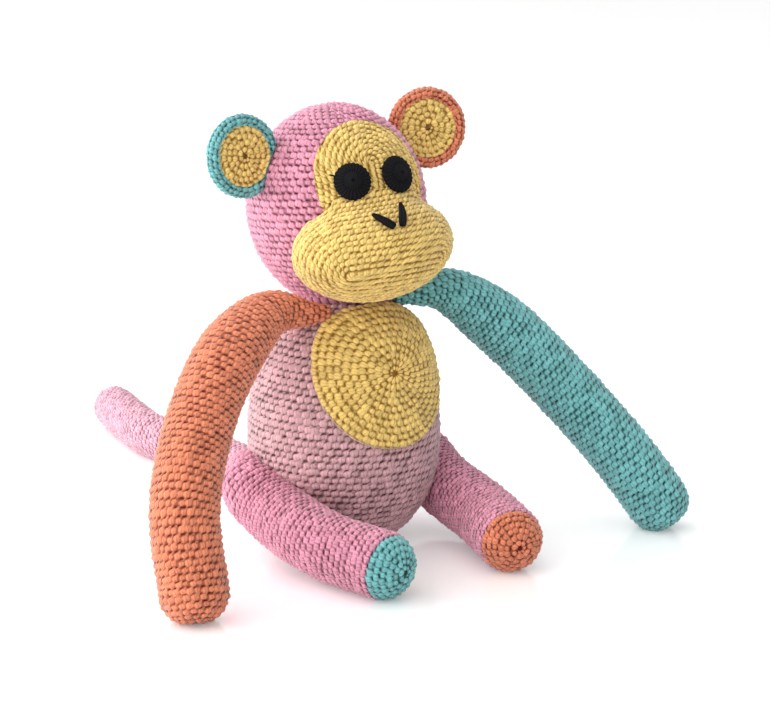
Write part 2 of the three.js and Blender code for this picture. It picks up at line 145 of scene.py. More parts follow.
class MonkeySizes(bpy.types.PropertyGroup):
    """The stuffed forms and what is sewn on them."""

    seat_radius: length("Seat", "Radius of the flat part of the seat", 12)
    belly_radius: length("Belly", "Largest radius of the body", 50)
    belly_height: length("Belly height", "Height of the widest part of the body", 55)
    shoulder_radius: length("Shoulders", "Radius of the ball that the shoulders are part of", 44.5)
    shoulder_height: length("Shoulder height", "Height of the middle of that ball", 89)
    shoulder_angle: angle("Shoulder angle", "How far the ball reaches down from the top", 70)
    head_radius: length("Head", "Radius of the head", 46)
    head_half_height: length("Head half height", "Half the height of the head", 51.5)
    head_sink: length("Head sink", "How far the head reaches into the shoulders", 10)
    head_lean: angle("Head lean", "How far the head leans back", 4)
    face_turn: angle("Face turn", "How far the face turns to the monkey's right", -6.3)
    face_roll: angle("Face roll", "How far the face's left side is raised", -4)
    arm_radius: length("Arm", "Radius of the arms", 16.7)
    leg_radius: length("Leg", "Radius of the legs", 16.8)
    tail_radius: length("Tail", "Radius of the tail", 12.8)
    seat_gap: length("Seat gap", "Room between two pieces that are sewn together", 0.4)
    seam_radius: length("Seam", "Radius of the roll of yarn that sews the head on", 2.2)
    patch_half_width: length("Patch half width", "From the patch's middle to its side, over the belly", 41.5)
    patch_half_height: length("Patch half height", "From the patch's middle to its top, over the belly", 38)
    patch_height: length("Patch height", "Height of the middle of the belly patch", 96.2)
    patch_thickness: length("Patch thickness", "Thickness of the belly patch", 3.0)
    patch_gap: length("Patch gap", "Room between the belly patch and the body", 0.5)
    brow_half_width: length("Brow half width", "Half the width of the flat part of the face", 29)
    brow_half_height: length("Brow half height", "Half the height of the flat part of the face", 30.5)
    brow_height: length("Brow height", "Middle of the flat part of the face above the head's middle", 14)
    brow_thickness: length("Brow thickness", "Thickness of the flat part of the face", 3.5)
    muzzle_middle: bpy.props.FloatVectorProperty(
        name="Muzzle", description="Middle of the muzzle from the head's middle",
        default=(-2 * MM, -40.5 * MM, -18.7 * MM), unit="LENGTH",
    )
    muzzle_radii: bpy.props.FloatVectorProperty(
        name="Muzzle radii", description="Half the width, depth and height of the muzzle",
        default=(42.5 * MM, 29 * MM, 26 * MM), unit="LENGTH",
    )
    mouth_half_width: length("Mouth half width", "Half the length of the chain the muzzle starts from", 24)
    mouth_height: length("Mouth height", "From the head's middle down to that chain", -27)
    brow_chain_low: length("Brow chain low", "Lower end of the chain that the brow is worked from", 1)
    brow_chain_high: length("Brow chain high", "Upper end of that chain", 24)
    eye_radius: length("Eye", "Radius of the eye discs", 9.5)
    eye_thickness: length("Eye thickness", "Thickness of the eye discs", 2.6)
    eye_spread: length("Eye spread", "From the middle of the face to an eye", 11.4)
    eye_height: length("Eye height", "From the head's middle up to the eyes", 15.3)
    nostril_radius: length("Nostril", "Radius of the sewn nostrils", 1.9)
    ear_radius: length("Ear", "Radius of the ears", 20.7)
    ear_rim: length("Ear rim", "Radius of the ear's rolled rim", 3.2)
    ear_back: length("Ear back", "Depth of the ear behind the middle of its rim", 3.5)
    ear_disc_radius: length("Ear disc", "Radius of the disc in the ear", 15.4)
    ear_disc_thickness: length("Ear disc thickness", "Thickness of the disc in the ear", 2.2)
    ear_spread: length("Ear spread", "From the middle of the head to the middle of an ear", 52)
    ear_forward: length("Ear forward", "How far the ears sit in front of the head's middle", 8)
    ear_height: length("Ear height", "How far the ears sit above the head's middle", 32.5)
    ear_toe_in: angle("Ear toe-in", "How far the ears turn towards the front", 10)
    toe_cap_length: length("Toe cap", "Length of the toe caps", 12)
    arm_root: length("Arm root", "Radius of the pinched root of an arm", 3.4)
    arm_taper: length("Arm taper", "From an arm's root to its full radius", 75)
    root_bend: length("Root bend", "How far from its root an arm or the tail bends", 36)
    leg_root: length("Leg root", "Radius of the pinched root of a leg", 6)
    leg_taper: length("Leg taper", "From a leg's root to its full radius", 27)
    tail_root: length("Tail root", "Radius of the pinched root of the tail", 6)
    tail_taper: length("Tail taper", "From the tail's root to its full radius", 24)
    nose_blend: length("Nose blend", "How widely the muzzle runs out into the brow", 9)


def yarn():
    return bpy.context.scene.monkey_yarn


def colours():
    return bpy.context.scene.monkey_colours


def sizes():
    return bpy.context.scene.monkey_sizes


# Lines and profiles


def resample(points, count):
    """Points at equal steps along a line."""
    points = np.asarray(points, float)
    steps = np.linalg.norm(np.diff(points, axis=0), axis=1)
    along = np.concatenate([[0.0], np.cumsum(steps)])
    wanted = np.linspace(0.0, along[-1], count)
    return np.stack([np.interp(wanted, along, points[:, k]) for k in range(points.shape[1])], 1)


def line_length(points):
    return float(np.linalg.norm(np.diff(np.asarray(points, float), axis=0), axis=1).sum())


def smooth_line(points, steps=60):
    """A curve through points that keeps close to them, as a loose limb lies."""
    points = [np.asarray(p, float) for p in points]
    points = [2 * points[0] - points[1], *points, 2 * points[-1] - points[-2]]
    share = np.linspace(0.0, 1.0, steps, endpoint=False)[:, None]
    curve = []
    for before, start, end, after in zip(points, points[1:], points[2:], points[3:]):
        first, middle, last = (
            math.sqrt(np.linalg.norm(b - a)) for a, b in ((before, start), (start, end), (end, after))
        )
        leave = (start - before) / first - (end - before) / (first + middle) + (end - start) / middle
        arrive = (end - start) / middle - (after - start) / (middle + last) + (after - end) / last
        leave, arrive = leave * middle, arrive * middle
        bend = 2 * start - 2 * end + leave + arrive
        swing = 3 * end - 3 * start - 2 * leave - arrive
        curve.append(start + leave * share + swing * share**2 + bend * share**3)
    curve.append(points[-2][None])
    return np.concatenate(curve)


# Stitches

# The bumps of one stitch: place across and up, half width, half height, tilt and how proud it stands.
# Places and sizes are shares of a stitch; up is the way the work grows.
STITCH_BUMPS = (
    (0.00, 0.00, 0.49, 0.48, 0.20, 1.00),
    (0.38, 0.48, 0.24, 0.26, 0.50, 0.74),
)
# The yarn that runs along the round behind the bumps: half its height and how proud it stands
ROPE_HALF, ROPE_PROUD = 0.50, 0.52
# A round begins with this many stitches and grows by as many at a time
ROUND_STEP = 6
# How far each round is shifted along the one before, in stitches
STAGGER = 0.62
# The relief that edges and backs without stitches are coloured for, so that they take almost none of the
# painted gap shade
PLAIN_RELIEF = 0.75
# How far out the hole reaches where the work began, in rounds
START_HOLE = 0.28
# How far stitches stray along their round and across it, in stitches, and how much their size varies
STRAY_ALONG, STRAY_ACROSS, STRAY_SIZE = 0.16, 0.20, 0.28
# How much of its own height a point keeps when the bumps are softened, where its neighbours give the rest
KEPT_HEIGHT = 0.64


def chance(number, salt):
    """A steady number from 0 to 1 for each stitch."""
    share = np.sin(number * 12.9898 + salt * 78.233) * 43758.5453
    return share - np.floor(share)


def stitch_relief(rounds, around, round_length, salt=0.0, gauge=1.0, hole=START_HOLE):
    """How far each point of a skin stands out, from 0 in a gap to 1, with its stitch's tone, strand and turn.

    rounds counts the rounds from where the work began, around is the share of the way round, and round_length
    gives the length of a round. The work is a spiral, so each turn ends one round on, with part of a stitch
    left over. Where the rounds grow, as in a disc, that part is uneven, so the stitches don't line up into
    spokes. gauge is the size of these stitches against the usual ones, and hole how far out the hole in the
    middle reaches.
    """
    first = -3
    numbers = np.arange(first, int(np.ceil(rounds.max())) + 4)
    fits = np.array([round_length(n + 0.5) for n in numbers]) / (yarn().stitch_width * gauge)
    count = ROUND_STEP * np.maximum(np.rint(fits / ROUND_STEP), 1) + STAGGER
    grown = np.clip(np.abs(np.gradient(count)) / ROUND_STEP, 0, 1)
    count = count + grown * (chance(numbers, salt + 5) - 0.5)
    start = -np.cumsum(count)
    spiral = rounds + around
    rope = (spiral - np.floor(spiral) - 0.5) / ROPE_HALF
    height = ROPE_PROUD * np.sqrt(np.clip(1 - rope * rope, 0, None))
    tone = np.zeros(rounds.shape)
    strand = np.zeros(rounds.shape + (3,))
    owner = np.floor(spiral)
    for step in (-1, 0, 1):
        turn = np.floor(spiral).astype(int) + step
        place = np.clip(turn - first, 0, len(numbers) - 1)
        along = around * count[place] + start[place]
        for near in (-1, 0, 1):
            number = np.floor(along) + near
            across = along - number - 0.5 + STRAY_ALONG * (chance(number, salt) - 0.5)
            up = spiral - turn - 0.5 + STRAY_ACROSS * (chance(number, salt + 1) - 0.5)
            swell = 1 + STRAY_SIZE * (chance(number, salt + 2) - 0.5)
            for rank, (x, y, half_width, half_height, tilt, proud) in enumerate(STITCH_BUMPS):
                a = (across - x) * math.cos(tilt) + (up - y) * math.sin(tilt)
                b = (up - y) * math.cos(tilt) - (across - x) * math.sin(tilt)
                edge = (a / (half_width * swell)) ** 2 + (b / (half_height * swell)) ** 2
                bump = proud * swell * np.sqrt(np.clip(1 - edge, 0, None))
                if rank:
                    bump = bump * np.clip(rounds - 1, 0, 1)
                higher = bump > height
                height = np.where(higher, bump, height)
                tone = np.where(higher, chance(number, salt + 3), tone)
                owner = np.where(higher, turn, owner)
                strand = np.where(higher[..., None], np.stack([a, b, chance(number, salt + 4)], -1), strand)
    if hole:
        height = height * np.clip((rounds - hole) / hole, 0, 1)
    return height, tone, strand, owner


def outward(places):
    """The outward direction at each point of a skin, an array of rows by columns."""
    along_row = np.roll(places, -1, 1) - np.roll(places, 1, 1)
    along_column = np.gradient(places, axis=0)
    normal = np.cross(along_row, along_column)
    size = np.linalg.norm(normal, axis=2, keepdims=True)
    normal = normal / np.maximum(size, 1e-15)
    for row, beside in ((0, 1), (-1, -2)):
        if np.linalg.norm(np.ptp(places[row], axis=0)) < TOUCHING:
            mean = normal[beside].mean(0)
            normal[row] = mean / max(np.linalg.norm(mean), 1e-12)
    middle = places.mean(1, keepdims=True)
    if np.sum(normal[1:-1] * (places - middle)[1:-1]) < 0:
        normal = -normal
    return normal


def soften(values):
    """Rounds the edges of the bumps, so that the grid's own steps don't show."""
    given = (1 - KEPT_HEIGHT) / 2
    around = KEPT_HEIGHT * values + given * (np.roll(values, 1, 1) + np.roll(values, -1, 1))
    padded = np.concatenate([around[:1], around, around[-1:]])
    return KEPT_HEIGHT * around + given * (padded[:-2] + padded[2:])


def roll_grid(name, places, values):
    """A grid rolled into a closed skin: places is an array of rows by columns, and values its attributes."""
    rows, columns = places.shape[0] - 1, places.shape[1]
    work = bmesh.new()
    bmesh.ops.create_grid(work, x_segments=columns, y_segments=rows, size=1)
    mesh = bpy.data.meshes.new(name)
    work.to_mesh(mesh)
    if len(mesh.vertices) != (rows + 1) * (columns + 1):
        raise RuntimeError(f"{name}: the grid has {len(mesh.vertices)} points")
    flat = np.empty(len(mesh.vertices) * 3, np.float32)
    mesh.vertices.foreach_get("co", flat)
    flat = flat.reshape(-1, 3)
    share = (flat - flat.min(0)) / np.maximum(np.ptp(flat, axis=0), 1e-9)
    column = np.rint(share[:, 0] * columns).astype(int) % columns
    row = np.rint(share[:, 1] * rows).astype(int)
    mesh.vertices.foreach_set("co", places[row, column].astype(np.float32).ravel())
    for label, value in values.items():
        kind, field = ("FLOAT_VECTOR", "vector") if value.ndim == 3 else ("FLOAT", "value")
        attribute = mesh.attributes.new(label, kind, "POINT")
        attribute.data.foreach_set(field, value[row, column].astype(np.float32).ravel())
    work.clear()
    work.from_mesh(mesh)
    bmesh.ops.remove_doubles(work, verts=work.verts, dist=TOUCHING)
    bmesh.ops.recalc_face_normals(work, faces=work.faces)
    work.to_mesh(mesh)
    work.free()
    mesh.shade_smooth()
    piece = bpy.data.objects.new(name, mesh)
    bpy.context.scene.collection.objects.link(piece)
    return piece


def work_skin(
    name, places, rounds, around, round_length, finish, fade=None, least=None, kept=None, **stitches
):
    """Works a crochet skin over a form.

    places is the form, rows by columns; fade, where given, says how much of the relief each point keeps, and
    least how shallow its gaps are. kept gives the first and last turn that show; the others lie below the
    skin they meet.
    """
    depth = yarn().relief * stitches.get("gauge", 1.0)
    height, tone, strand, owner = stitch_relief(rounds, around, round_length, **stitches)
    if least is not None:
        height = np.maximum(height, least)
    lift = soften(height if fade is None else height * fade) * depth - depth + yarn().proud
    if fade is not None:
        height = height * fade + PLAIN_RELIEF * (1 - fade)
    if kept:
        lift = lift - depth * ((owner < kept[0]) | (owner > kept[1]))
    skin = places + outward(places) * lift[..., None]
    skin[..., 2] = np.maximum(skin[..., 2], 0.0)
    piece = roll_grid(name, skin, {"relief": height, "tone": tone, "strand": strand})
    piece.data.materials.append(finish)
    return piece


def ring_lengths(places, rounds):
    """The length of each round of a form, as a function of its number."""
    steps = np.linalg.norm(np.roll(places, -1, 1) - places, axis=2).sum(1)
    order = np.argsort(rounds)
    return lambda number: float(np.interp(number, rounds[order], steps[order]))


def work_rings(name, places, rounds, finish, **options):
    """Works a skin whose rounds are the rings of its form."""
    columns = places.shape[1]
    around = np.broadcast_to(np.arange(columns) / columns, places.shape[:2])
    spread = np.broadcast_to(np.asarray(rounds)[:, None], places.shape[:2])
    lengths = options.pop("lengths", None) or ring_lengths(places, np.asarray(rounds))
    return work_skin(name, places, spread, around, lengths, finish, **options)


def turn_form(profile, columns, seam=math.pi / 2):
    """A form turned about Z from a profile of (radius, height), with its seam towards the given direction."""
    turn = seam + np.arange(columns) / columns * 2 * math.pi
    radius, height = profile[:, 0:1], profile[:, 1:2]
    x, y = radius * np.cos(turn), radius * np.sin(turn)
    return np.stack([x, y, np.broadcast_to(height, x.shape)], -1)


def placed(places, matrix):
    """Points moved by a matrix."""
    grid = np.array(matrix)
    return places @ grid[:3, :3].T + grid[:3, 3]


def mesh_counts(around_length, side_length, gauge=1.0):
    """Columns and rows of faces for a form of that girth and that length along its side."""
    columns = int(math.ceil(around_length / (yarn().stitch_width * gauge))) * yarn().detail_across
    rows = int(math.ceil(side_length / (yarn().round_height * gauge))) * yarn().detail_up
    return columns, rows


# Yarn finishes

# Shade painted between the stitches, where little light reaches: this much of the yarn's colour, deepened by
# this power
PAINTED_GAP_SHADES = {"yellow_yarn": 0.48, "mauve_yarn": 0.22}
PAINTED_GAP_SHADE = 0.30
PAINTED_GAP_POWER = 2.6
# The relief where the painted gap shade ends and where the yarn's own colour is reached
PAINTED_SHADE_RELIEF = (0.12, 0.76)
# How the yarn takes the light
YARN_ROUGHNESS = 0.88
YARN_SHINE = 0.22
YARN_SHEEN = 0.7
SHEEN_ROUGHNESS = 0.35
# The darkest and the lightest stitch, and the darkest and the lightest fibres, against the yarn's colour
STITCH_TONES = (0.86, 1.12)
FIBRE_TONES = (0.92, 1.08)
# The noise that the fibres are: its scale, and the part of its range that counts
FIBRE_SCALE = 900
FIBRE_RANGE = (0.3, 0.7)
# The slit in the middle of a stitch, where shade is painted: where that painted shade starts to end and ends,
# in stitches, and how far it darkens the yarn's colour
SLIT_EDGE = (0.015, 0.1)
SLIT_PAINTED_SHADE = 0.72
# The plies of a strand: their scale, and how they waver
PLY_SCALE = 2.6
PLY_WAVER = 1.2
# How strong and how high the plies and the fibres stand out
PLY_BUMP = (0.35, 0.25 * MM)
FIBRE_BUMP = (0.4, 0.2 * MM)


def add_node(tree, kind, joined=None, values=None, **settings):
    """A shader node with its settings, its fixed inputs, and its inputs that are joined to other nodes."""
    node = tree.nodes.new(f"ShaderNode{kind}")
    for name, setting in settings.items():
        setattr(node, name, setting)
    for name, value in (values or {}).items():
        node.inputs[name].default_value = value
    for name, output in (joined or {}).items():
        tree.links.new(output, node.inputs[name])
    return node


def add_range(tree, value, start=(0, 1), end=(0, 1), smooth=False):
    """A value moved from one range to another. Returns the output."""
    limits = {"From Min": start[0], "From Max": start[1], "To Min": end[0], "To Max": end[1]}
    kind = "SMOOTHSTEP" if smooth else "LINEAR"
    return add_node(tree, "MapRange", {"Value": value}, limits, interpolation_type=kind).outputs["Result"]


def add_product(tree, first, second):
    """The product of two values. Returns the output."""
    return add_node(tree, "Math", {0: first, 1: second}, operation="MULTIPLY").outputs["Value"]


def yarn_finish(name, shade, gap, sheen=YARN_SHEEN):
    """Matt cotton yarn: shade painted into the gaps and into the slit of each stitch, a tone of its own for
    each stitch, plies along each strand.
    """
    finish = bpy.data.materials.new(name)
    finish.use_nodes = True
    tree = finish.node_tree
    surface = tree.nodes["Principled BSDF"]
    surface.inputs["Roughness"].default_value = YARN_ROUGHNESS
    surface.inputs["Specular IOR Level"].default_value = YARN_SHINE
    surface.inputs["Sheen Weight"].default_value = sheen
    surface.inputs["Sheen Roughness"].default_value = SHEEN_ROUGHNESS

    relief = add_node(tree, "Attribute", attribute_name="relief")
    tone = add_node(tree, "Attribute", attribute_name="tone")
    strand = add_node(tree, "Attribute", attribute_name="strand")
    place = add_node(tree, "TexCoord")
    fibre = add_node(
        tree, "TexNoise", {"Vector": place.outputs["Object"]}, {"Scale": FIBRE_SCALE, "Detail": 3}
    )
    plies = add_node(
        tree, "TexWave", {"Vector": strand.outputs["Vector"]},
        {"Scale": PLY_SCALE, "Distortion": PLY_WAVER, "Detail": 1},
        wave_type="BANDS", bands_direction="DIAGONAL",
    )

    # Painted shade: the lower the relief, the nearer the colour comes to the painted gap shade
    depth = add_range(tree, relief.outputs["Fac"], PAINTED_SHADE_RELIEF, smooth=True)
    painted_gap_shade = (*[gap * channel**PAINTED_GAP_POWER for channel in shade], 1)
    shades = add_node(tree, "Mix", {"Factor": depth}, {"A": painted_gap_shade, "B": (*shade, 1)}, data_type="RGBA")

    # Painted shade in the slit between the two strands of a stitch
    sides = add_node(tree, "SeparateXYZ", {"Vector": strand.outputs["Vector"]})
    aside = add_node(tree, "Math", {0: sides.outputs["X"]}, operation="ABSOLUTE")
    slit = add_range(tree, aside.outputs["Value"], SLIT_EDGE, (SLIT_PAINTED_SHADE, 1), smooth=True)
    stitch_tone = add_range(tree, tone.outputs["Fac"], end=STITCH_TONES)
    mottle = add_range(tree, fibre.outputs["Fac"], FIBRE_RANGE, FIBRE_TONES)
    value = add_product(tree, add_product(tree, stitch_tone, mottle), slit)
    varied = add_node(tree, "HueSaturation", {"Value": value, "Color": shades.outputs["Result"]})
    tree.links.new(varied.outputs["Color"], surface.inputs["Base Color"])

    bumps = None
    for (strength, distance), pattern in ((PLY_BUMP, plies), (FIBRE_BUMP, fibre)):
        joined = {"Height": pattern.outputs["Fac"]}
        if bumps:
            joined["Normal"] = bumps.outputs["Normal"]
        bumps = add_node(tree, "Bump", joined, {"Strength": strength, "Distance": distance})
    tree.links.new(bumps.outputs["Normal"], surface.inputs["Normal"])
    return finish


def finish_of(slot):
    """The finish of a record's material slot, made once."""
    name = f"worked_{slot}"
    made = bpy.data.materials.get(name)
    if made:
        return made
    shade = getattr(colours(), slot.removesuffix("_yarn"))
    if slot == "black_yarn":
        return yarn_finish(name, shade, PAINTED_GAP_SHADE, sheen=0)
    return yarn_finish(name, shade, PAINTED_GAP_SHADES.get(slot, PAINTED_GAP_SHADE))


def hand_over(piece, slot, nodes, body=None):
    """Hides the parts that a piece stands in for, and makes it move with a body where one is given."""
    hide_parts(*nodes)
    if body:
        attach(piece, body)


# Body

# How much coarser the body's mesh is, for a piece under 200,000 triangles
BODY_MESH = 1.12
# The steps along the body's side that the patch is laid by, and the rows of faces behind the patch
SIDE_STEPS = 600
PATCH_BACK_ROWS = 8


def body_side(steps=24):
    """The body's side from the seat to the top, as (radius, height)."""
    s = sizes()
    under = np.linspace(0, math.pi / 2, steps)
    seat = np.stack([
        s.seat_radius + (s.belly_radius - s.seat_radius) * np.sin(under),
        s.belly_height * (1 - np.cos(under)),
    ], 1)
    turn = np.linspace(s.shoulder_angle, 0, steps)
    ball = np.stack([
        s.shoulder_radius * np.sin(turn),
        s.shoulder_height + s.shoulder_radius * np.cos(turn),
    ], 1)
    reach = (ball[0, 1] - s.belly_height) / 3
    slope = np.array([math.cos(s.shoulder_angle), -math.sin(s.shoulder_angle)]) * reach
    share = np.linspace(0, 1, steps)[1:-1, None]
    flank = (
        seat[-1] * (1 - share) ** 3
        + 3 * (seat[-1] + [0, reach]) * share * (1 - share) ** 2
        + 3 * (ball[0] + slope) * share**2 * (1 - share)
        + ball[0] * share**3
    )
    return np.concatenate([[[0, 0]], seat, flank, ball])


def patch_form(columns, front_rows, back_rows):
    """The belly patch: a disc laid on the body's front, closed behind.

    Returns places, the number of rounds at each row, and which rows are in front.
    """
    s = sizes()
    side = resample(body_side(), SIDE_STEPS)
    along = np.linspace(0, line_length(side), SIDE_STEPS)
    middle = np.interp(s.patch_height, side[:, 1], along)
    turn = np.arange(columns) / columns * 2 * math.pi + math.pi / 2
    share = np.concatenate([np.linspace(0, 1, front_rows + 1), np.linspace(1, 0, back_rows + 1)[1:]])
    front = np.arange(len(share)) <= front_rows
    across = share[:, None] * s.patch_half_width * np.cos(turn)
    up = middle + share[:, None] * s.patch_half_height * np.sin(turn)
    edge = np.clip((1 - share) * s.patch_half_height / s.patch_thickness, 0, 1)
    raised = np.where(front, s.patch_thickness * np.sqrt(1 - (1 - edge) ** 2), 0)
    radius = np.interp(up, along, side[:, 0])
    height = np.interp(up, along, side[:, 1])
    slope = np.gradient(side, axis=0)
    slope /= np.linalg.norm(slope, axis=1, keepdims=True)
    lean = np.interp(up, along, -slope[:, 0])
    upright = np.interp(up, along, slope[:, 1])
    swing = across / np.maximum(radius, s.belly_radius / 2)
    lifted = radius + (raised[:, None] + s.patch_gap) * upright
    places = np.stack([
        lifted * np.sin(swing),
        -lifted * np.cos(swing),
        height + (raised[:, None] + s.patch_gap) * lean,
    ], -1)
    rounds = np.where(front, share, 1) * s.patch_half_height / (yarn().round_height * yarn().patch_gauge)
    return places, rounds, front


class MONKEY_OT_body(bpy.types.Operator):
    """Works the body and the patch on its belly"""

    bl_idname = "monkey.body"
    bl_label = "Body"

    def execute(self, context):
        side = body_side()
        long = line_length(side)
        columns, rows = mesh_counts(2 * math.pi * sizes().belly_radius, long, BODY_MESH)
        profile = resample(side, rows + 1)
        rounds = np.linspace(0, long / yarn().round_height, rows + 1)
        body = work_rings("body", turn_form(profile, columns), rounds, finish_of("mauve_yarn"), salt=1.0)
        hand_over(body, "mauve_yarn", ["body_cover", "body_stuffing"], "body")

        s = sizes()
        girth = math.pi * (s.patch_half_width + s.patch_half_height)
        gauge = yarn().patch_gauge
        columns, rows = mesh_counts(girth, s.patch_half_height, gauge)
        places, rounds, front = patch_form(columns, rows, PATCH_BACK_ROWS)
        fade = np.broadcast_to(front[:, None], places.shape[:2]) * 1.0
        patch = work_rings(
            "belly_patch", places, rounds, finish_of("yellow_yarn"), fade=fade, salt=8.0, gauge=gauge
        )
        hand_over(patch, "yellow_yarn", ["belly_patch"], "body")
        return {"FINISHED"}


# Head

# The hollow under the head: its rows of faces, and how much of the relief is kept where it begins and ends
HOLLOW_ROWS = 12
HOLLOW_RELIEF = (0.8, 0.2)
# The neck seam: its stitches, the faces along one and round the roll, and its waist between two stitches
SEAM_STITCHES = 34
SEAM_FACES = (12, 24)
SEAM_WAIST = 0.62
# How full a seam stitch is, where 1 is half a wave
SEAM_FULLNESS = 0.6


def head_matrix():
    """The head's own frame: its middle, leaning back."""
    s = sizes()
    rise = s.shoulder_radius + s.head_half_height - s.head_sink
    return (
        Matrix.Translation((0, 0, s.shoulder_height))
        @ Matrix.Rotation(-s.head_lean, 4, "X")
        @ Matrix.Translation((0, 0, rise))
    )


def face_matrix():
    """The face's own frame, turned and rolled about the head's middle."""
    s = sizes()
    return head_matrix() @ Matrix.Rotation(s.face_turn, 4, "Z") @ Matrix.Rotation(s.face_roll, 4, "Y")


def head_side(steps=80):
    """The head's side from its crown to where it sits on the shoulders, and the hollow under it."""
    s = sizes()
    turn = np.linspace(0, math.pi, steps * 4)
    egg = np.stack([s.head_radius * np.sin(turn), s.head_half_height * np.cos(turn)], 1)
    rise = s.shoulder_radius + s.head_half_height - s.head_sink
    ball = s.shoulder_radius + s.seat_gap
    clear = np.hypot(egg[:, 0], egg[:, 1] + rise) > ball
    egg = egg[: int(np.argmin(clear))]
    radius = np.linspace(egg[-1, 0], 0, steps)[1:]
    hollow = np.stack([radius, np.sqrt(ball**2 - radius**2) - rise], 1)
    return egg, hollow


class MONKEY_OT_head(bpy.types.Operator):
    """Works the head and the roll of yarn that sews it to the body"""

    bl_idname = "monkey.head"
    bl_label = "Head"

    def execute(self, context):
        egg, hollow = head_side()
        long = line_length(egg)
        gauge = yarn().head_gauge
        columns, rows = mesh_counts(2 * math.pi * sizes().head_radius, long, gauge)
        under = resample(np.vstack([egg[-1:], hollow]), HOLLOW_ROWS + 1)[1:]
        profile = np.concatenate([resample(egg, rows + 1), under])
        turns = long / (yarn().round_height * gauge)
        rounds = np.concatenate([np.linspace(0, turns, rows + 1), np.full(HOLLOW_ROWS, turns)])
        fade = np.concatenate([np.ones(rows + 1), np.linspace(*HOLLOW_RELIEF, HOLLOW_ROWS)])
        places = placed(turn_form(profile, columns), head_matrix())
        fade = np.broadcast_to(fade[:, None], places.shape[:2])
        head = work_rings("head", places, rounds, finish_of("pink_yarn"), fade=fade, salt=4.0, gauge=gauge)
        hand_over(head, "pink_yarn", ["head_cover", "head_stuffing"], "head")
        self.sew(egg[-1])
        return {"FINISHED"}

    def sew(self, line):
        """The neck seam: a roll of slanting stitches round the line where the head meets the shoulders."""
        columns, rows = SEAM_FACES[0] * SEAM_STITCHES, SEAM_FACES[1]
        around = np.arange(columns) / columns * 2 * math.pi
        turn = np.arange(rows + 1) / rows * 2 * math.pi
        slant = np.abs(np.sin(0.5 * (SEAM_STITCHES * around[None] + turn[:, None]))) ** SEAM_FULLNESS
        thick = sizes().seam_radius * (SEAM_WAIST + (1 - SEAM_WAIST) * slant)
        radius = line[0] + 0.5 * sizes().seam_radius + thick * np.cos(turn)[:, None]
        height = line[1] + thick * np.sin(turn)[:, None]
        ring = np.stack([radius * np.cos(around), radius * np.sin(around), height], -1)
        # The relief paints shade into the waists between the seam's stitches
        values = {"relief": slant, "tone": slant * 0 + 0.5, "strand": np.zeros(ring.shape)}
        seam = roll_grid("neck_seam", placed(ring, head_matrix()), values)
        seam.data.materials.append(finish_of("pink_yarn"))
        hand_over(seam, "pink_yarn", ["neck_seam"], "neck")


# Face

# The chain that the face is worked from: how far it reaches, in rounds, and how proud it stands
FACE_CHAIN = (0.3, 0.85)
# The share of a round that runs along the chain, and the neighbours that even out each point of the edge
CHAIN_SHARE = 0.45
EDGE_NEIGHBOURS = 3
# How far past the edge the ovals are measured
PAST_EDGE = 1.05
# How much of its thickness the brow sinks under the muzzle, and over how much of the muzzle's radii
BROW_SINK = 0.7
BROW_SLOPE = 0.1

# Where the muzzle's edge lies at its sides and on the brow, as a share of its radii
MUZZLE_EDGE = (1.02, 1.2)
# Over how much of the brow's half width the one runs into the other
MUZZLE_CORNER = 0.3
# The point inside the muzzle that its surface is seen from, in shares of its radii from its middle
MUZZLE_HEART = np.array((0, 0.62, 0.25))
# Below the first of these rises of the line of sight the muzzle keeps its shape, above the second it runs out
NOSE_RISE = (0.25, 0.5)

# The ridges of yarn that run out from the middle of an eye, the faces across one, and the rows of faces
EYE_RIDGES = 26
EYE_FACES = 12
EYE_ROWS = 48
# How far the ridges waver, and how often
EYE_WAVER = (0.6, 3)
# How thick an eye's middle is against its edge, the hole's radius in it, and how much is left in the hole
EYE_DOME = 1.8
EYE_HOLE = (0.12, 0.7)
# Where the ridges begin and how soon they are full, and where the ring round the middle lies and its width
EYE_RIDGE_REACH = (0.2, 0.3)
EYE_RING = (0.52, 0.07)
# How deep the grooves and the ring are, and how much relief they take, which paints shade into them
EYE_DEPTH = (0.45 * MM, 0.3 * MM)
EYE_PAINTED_SHADE = (0.6, 0.3)
# The thread end beside an eye, from the eye's middle in shares of its radius, and its own radius
WISP_ENDS = ((-0.8, 0.35), (-1.15, 0.48))
WISP_RADIUS = 0.45 * MM

# The knot at the muzzle's side in shares of its radii, its two ends from there in millimetres, and its radius
KNOT_PLACE = np.array((-0.90, 0.2, 0.0))
KNOT_ENDS = ((-0.5, 0, 3), (-0.5, 0, -3))
KNOT_RADIUS = 1.8 * MM
# The ends of the nostrils on the muzzle's front, sideways and up from the head's middle, in millimetres
NOSTRIL_ENDS = {
    "nostril_right": ((-10.4, 0.1), (-2.5, -6.5)),
    "nostril_left": ((6.4, 2.6), (1.2, -6.6)),
}
# How much thicker a nostril is at its inner end than in its middle, and how much of it stands out
NOSTRIL_WEDGE = 0.3
NOSTRIL_PROUD = 0.9

# The strands side by side in a sewn bar, how deep the grooves between them are, and how full both are
BAR_STRANDS = 5
BAR_GROOVE = 0.35
BAR_FULLNESS = 0.45
STRAND_FULLNESS = 0.5


def ball_reach(start, directions, middle, radii, turn=None):
    """How far a line from a point inside an egg-shaped ball runs before it leaves it."""
    start, middle, radii = (np.asarray(v, float) for v in (start, middle, radii))
    turn = np.eye(3) if turn is None else np.array(turn)[:3, :3]
    origin = ((start - middle) @ turn.T) / radii
    heading = (directions @ turn.T) / radii
    a = (heading**2).sum(-1)
    b = (heading * origin).sum(-1)
    c = (origin**2).sum() - 1
    return (-b + np.sqrt(b * b - a * c)) / a


def heading(sideways, upwards):
    """The direction at an angle sideways and upwards from straight ahead."""
    return np.stack([
        np.sin(sideways) * np.cos(upwards),
        -np.cos(sideways) * np.cos(upwards),
        np.sin(upwards),
    ], -1)


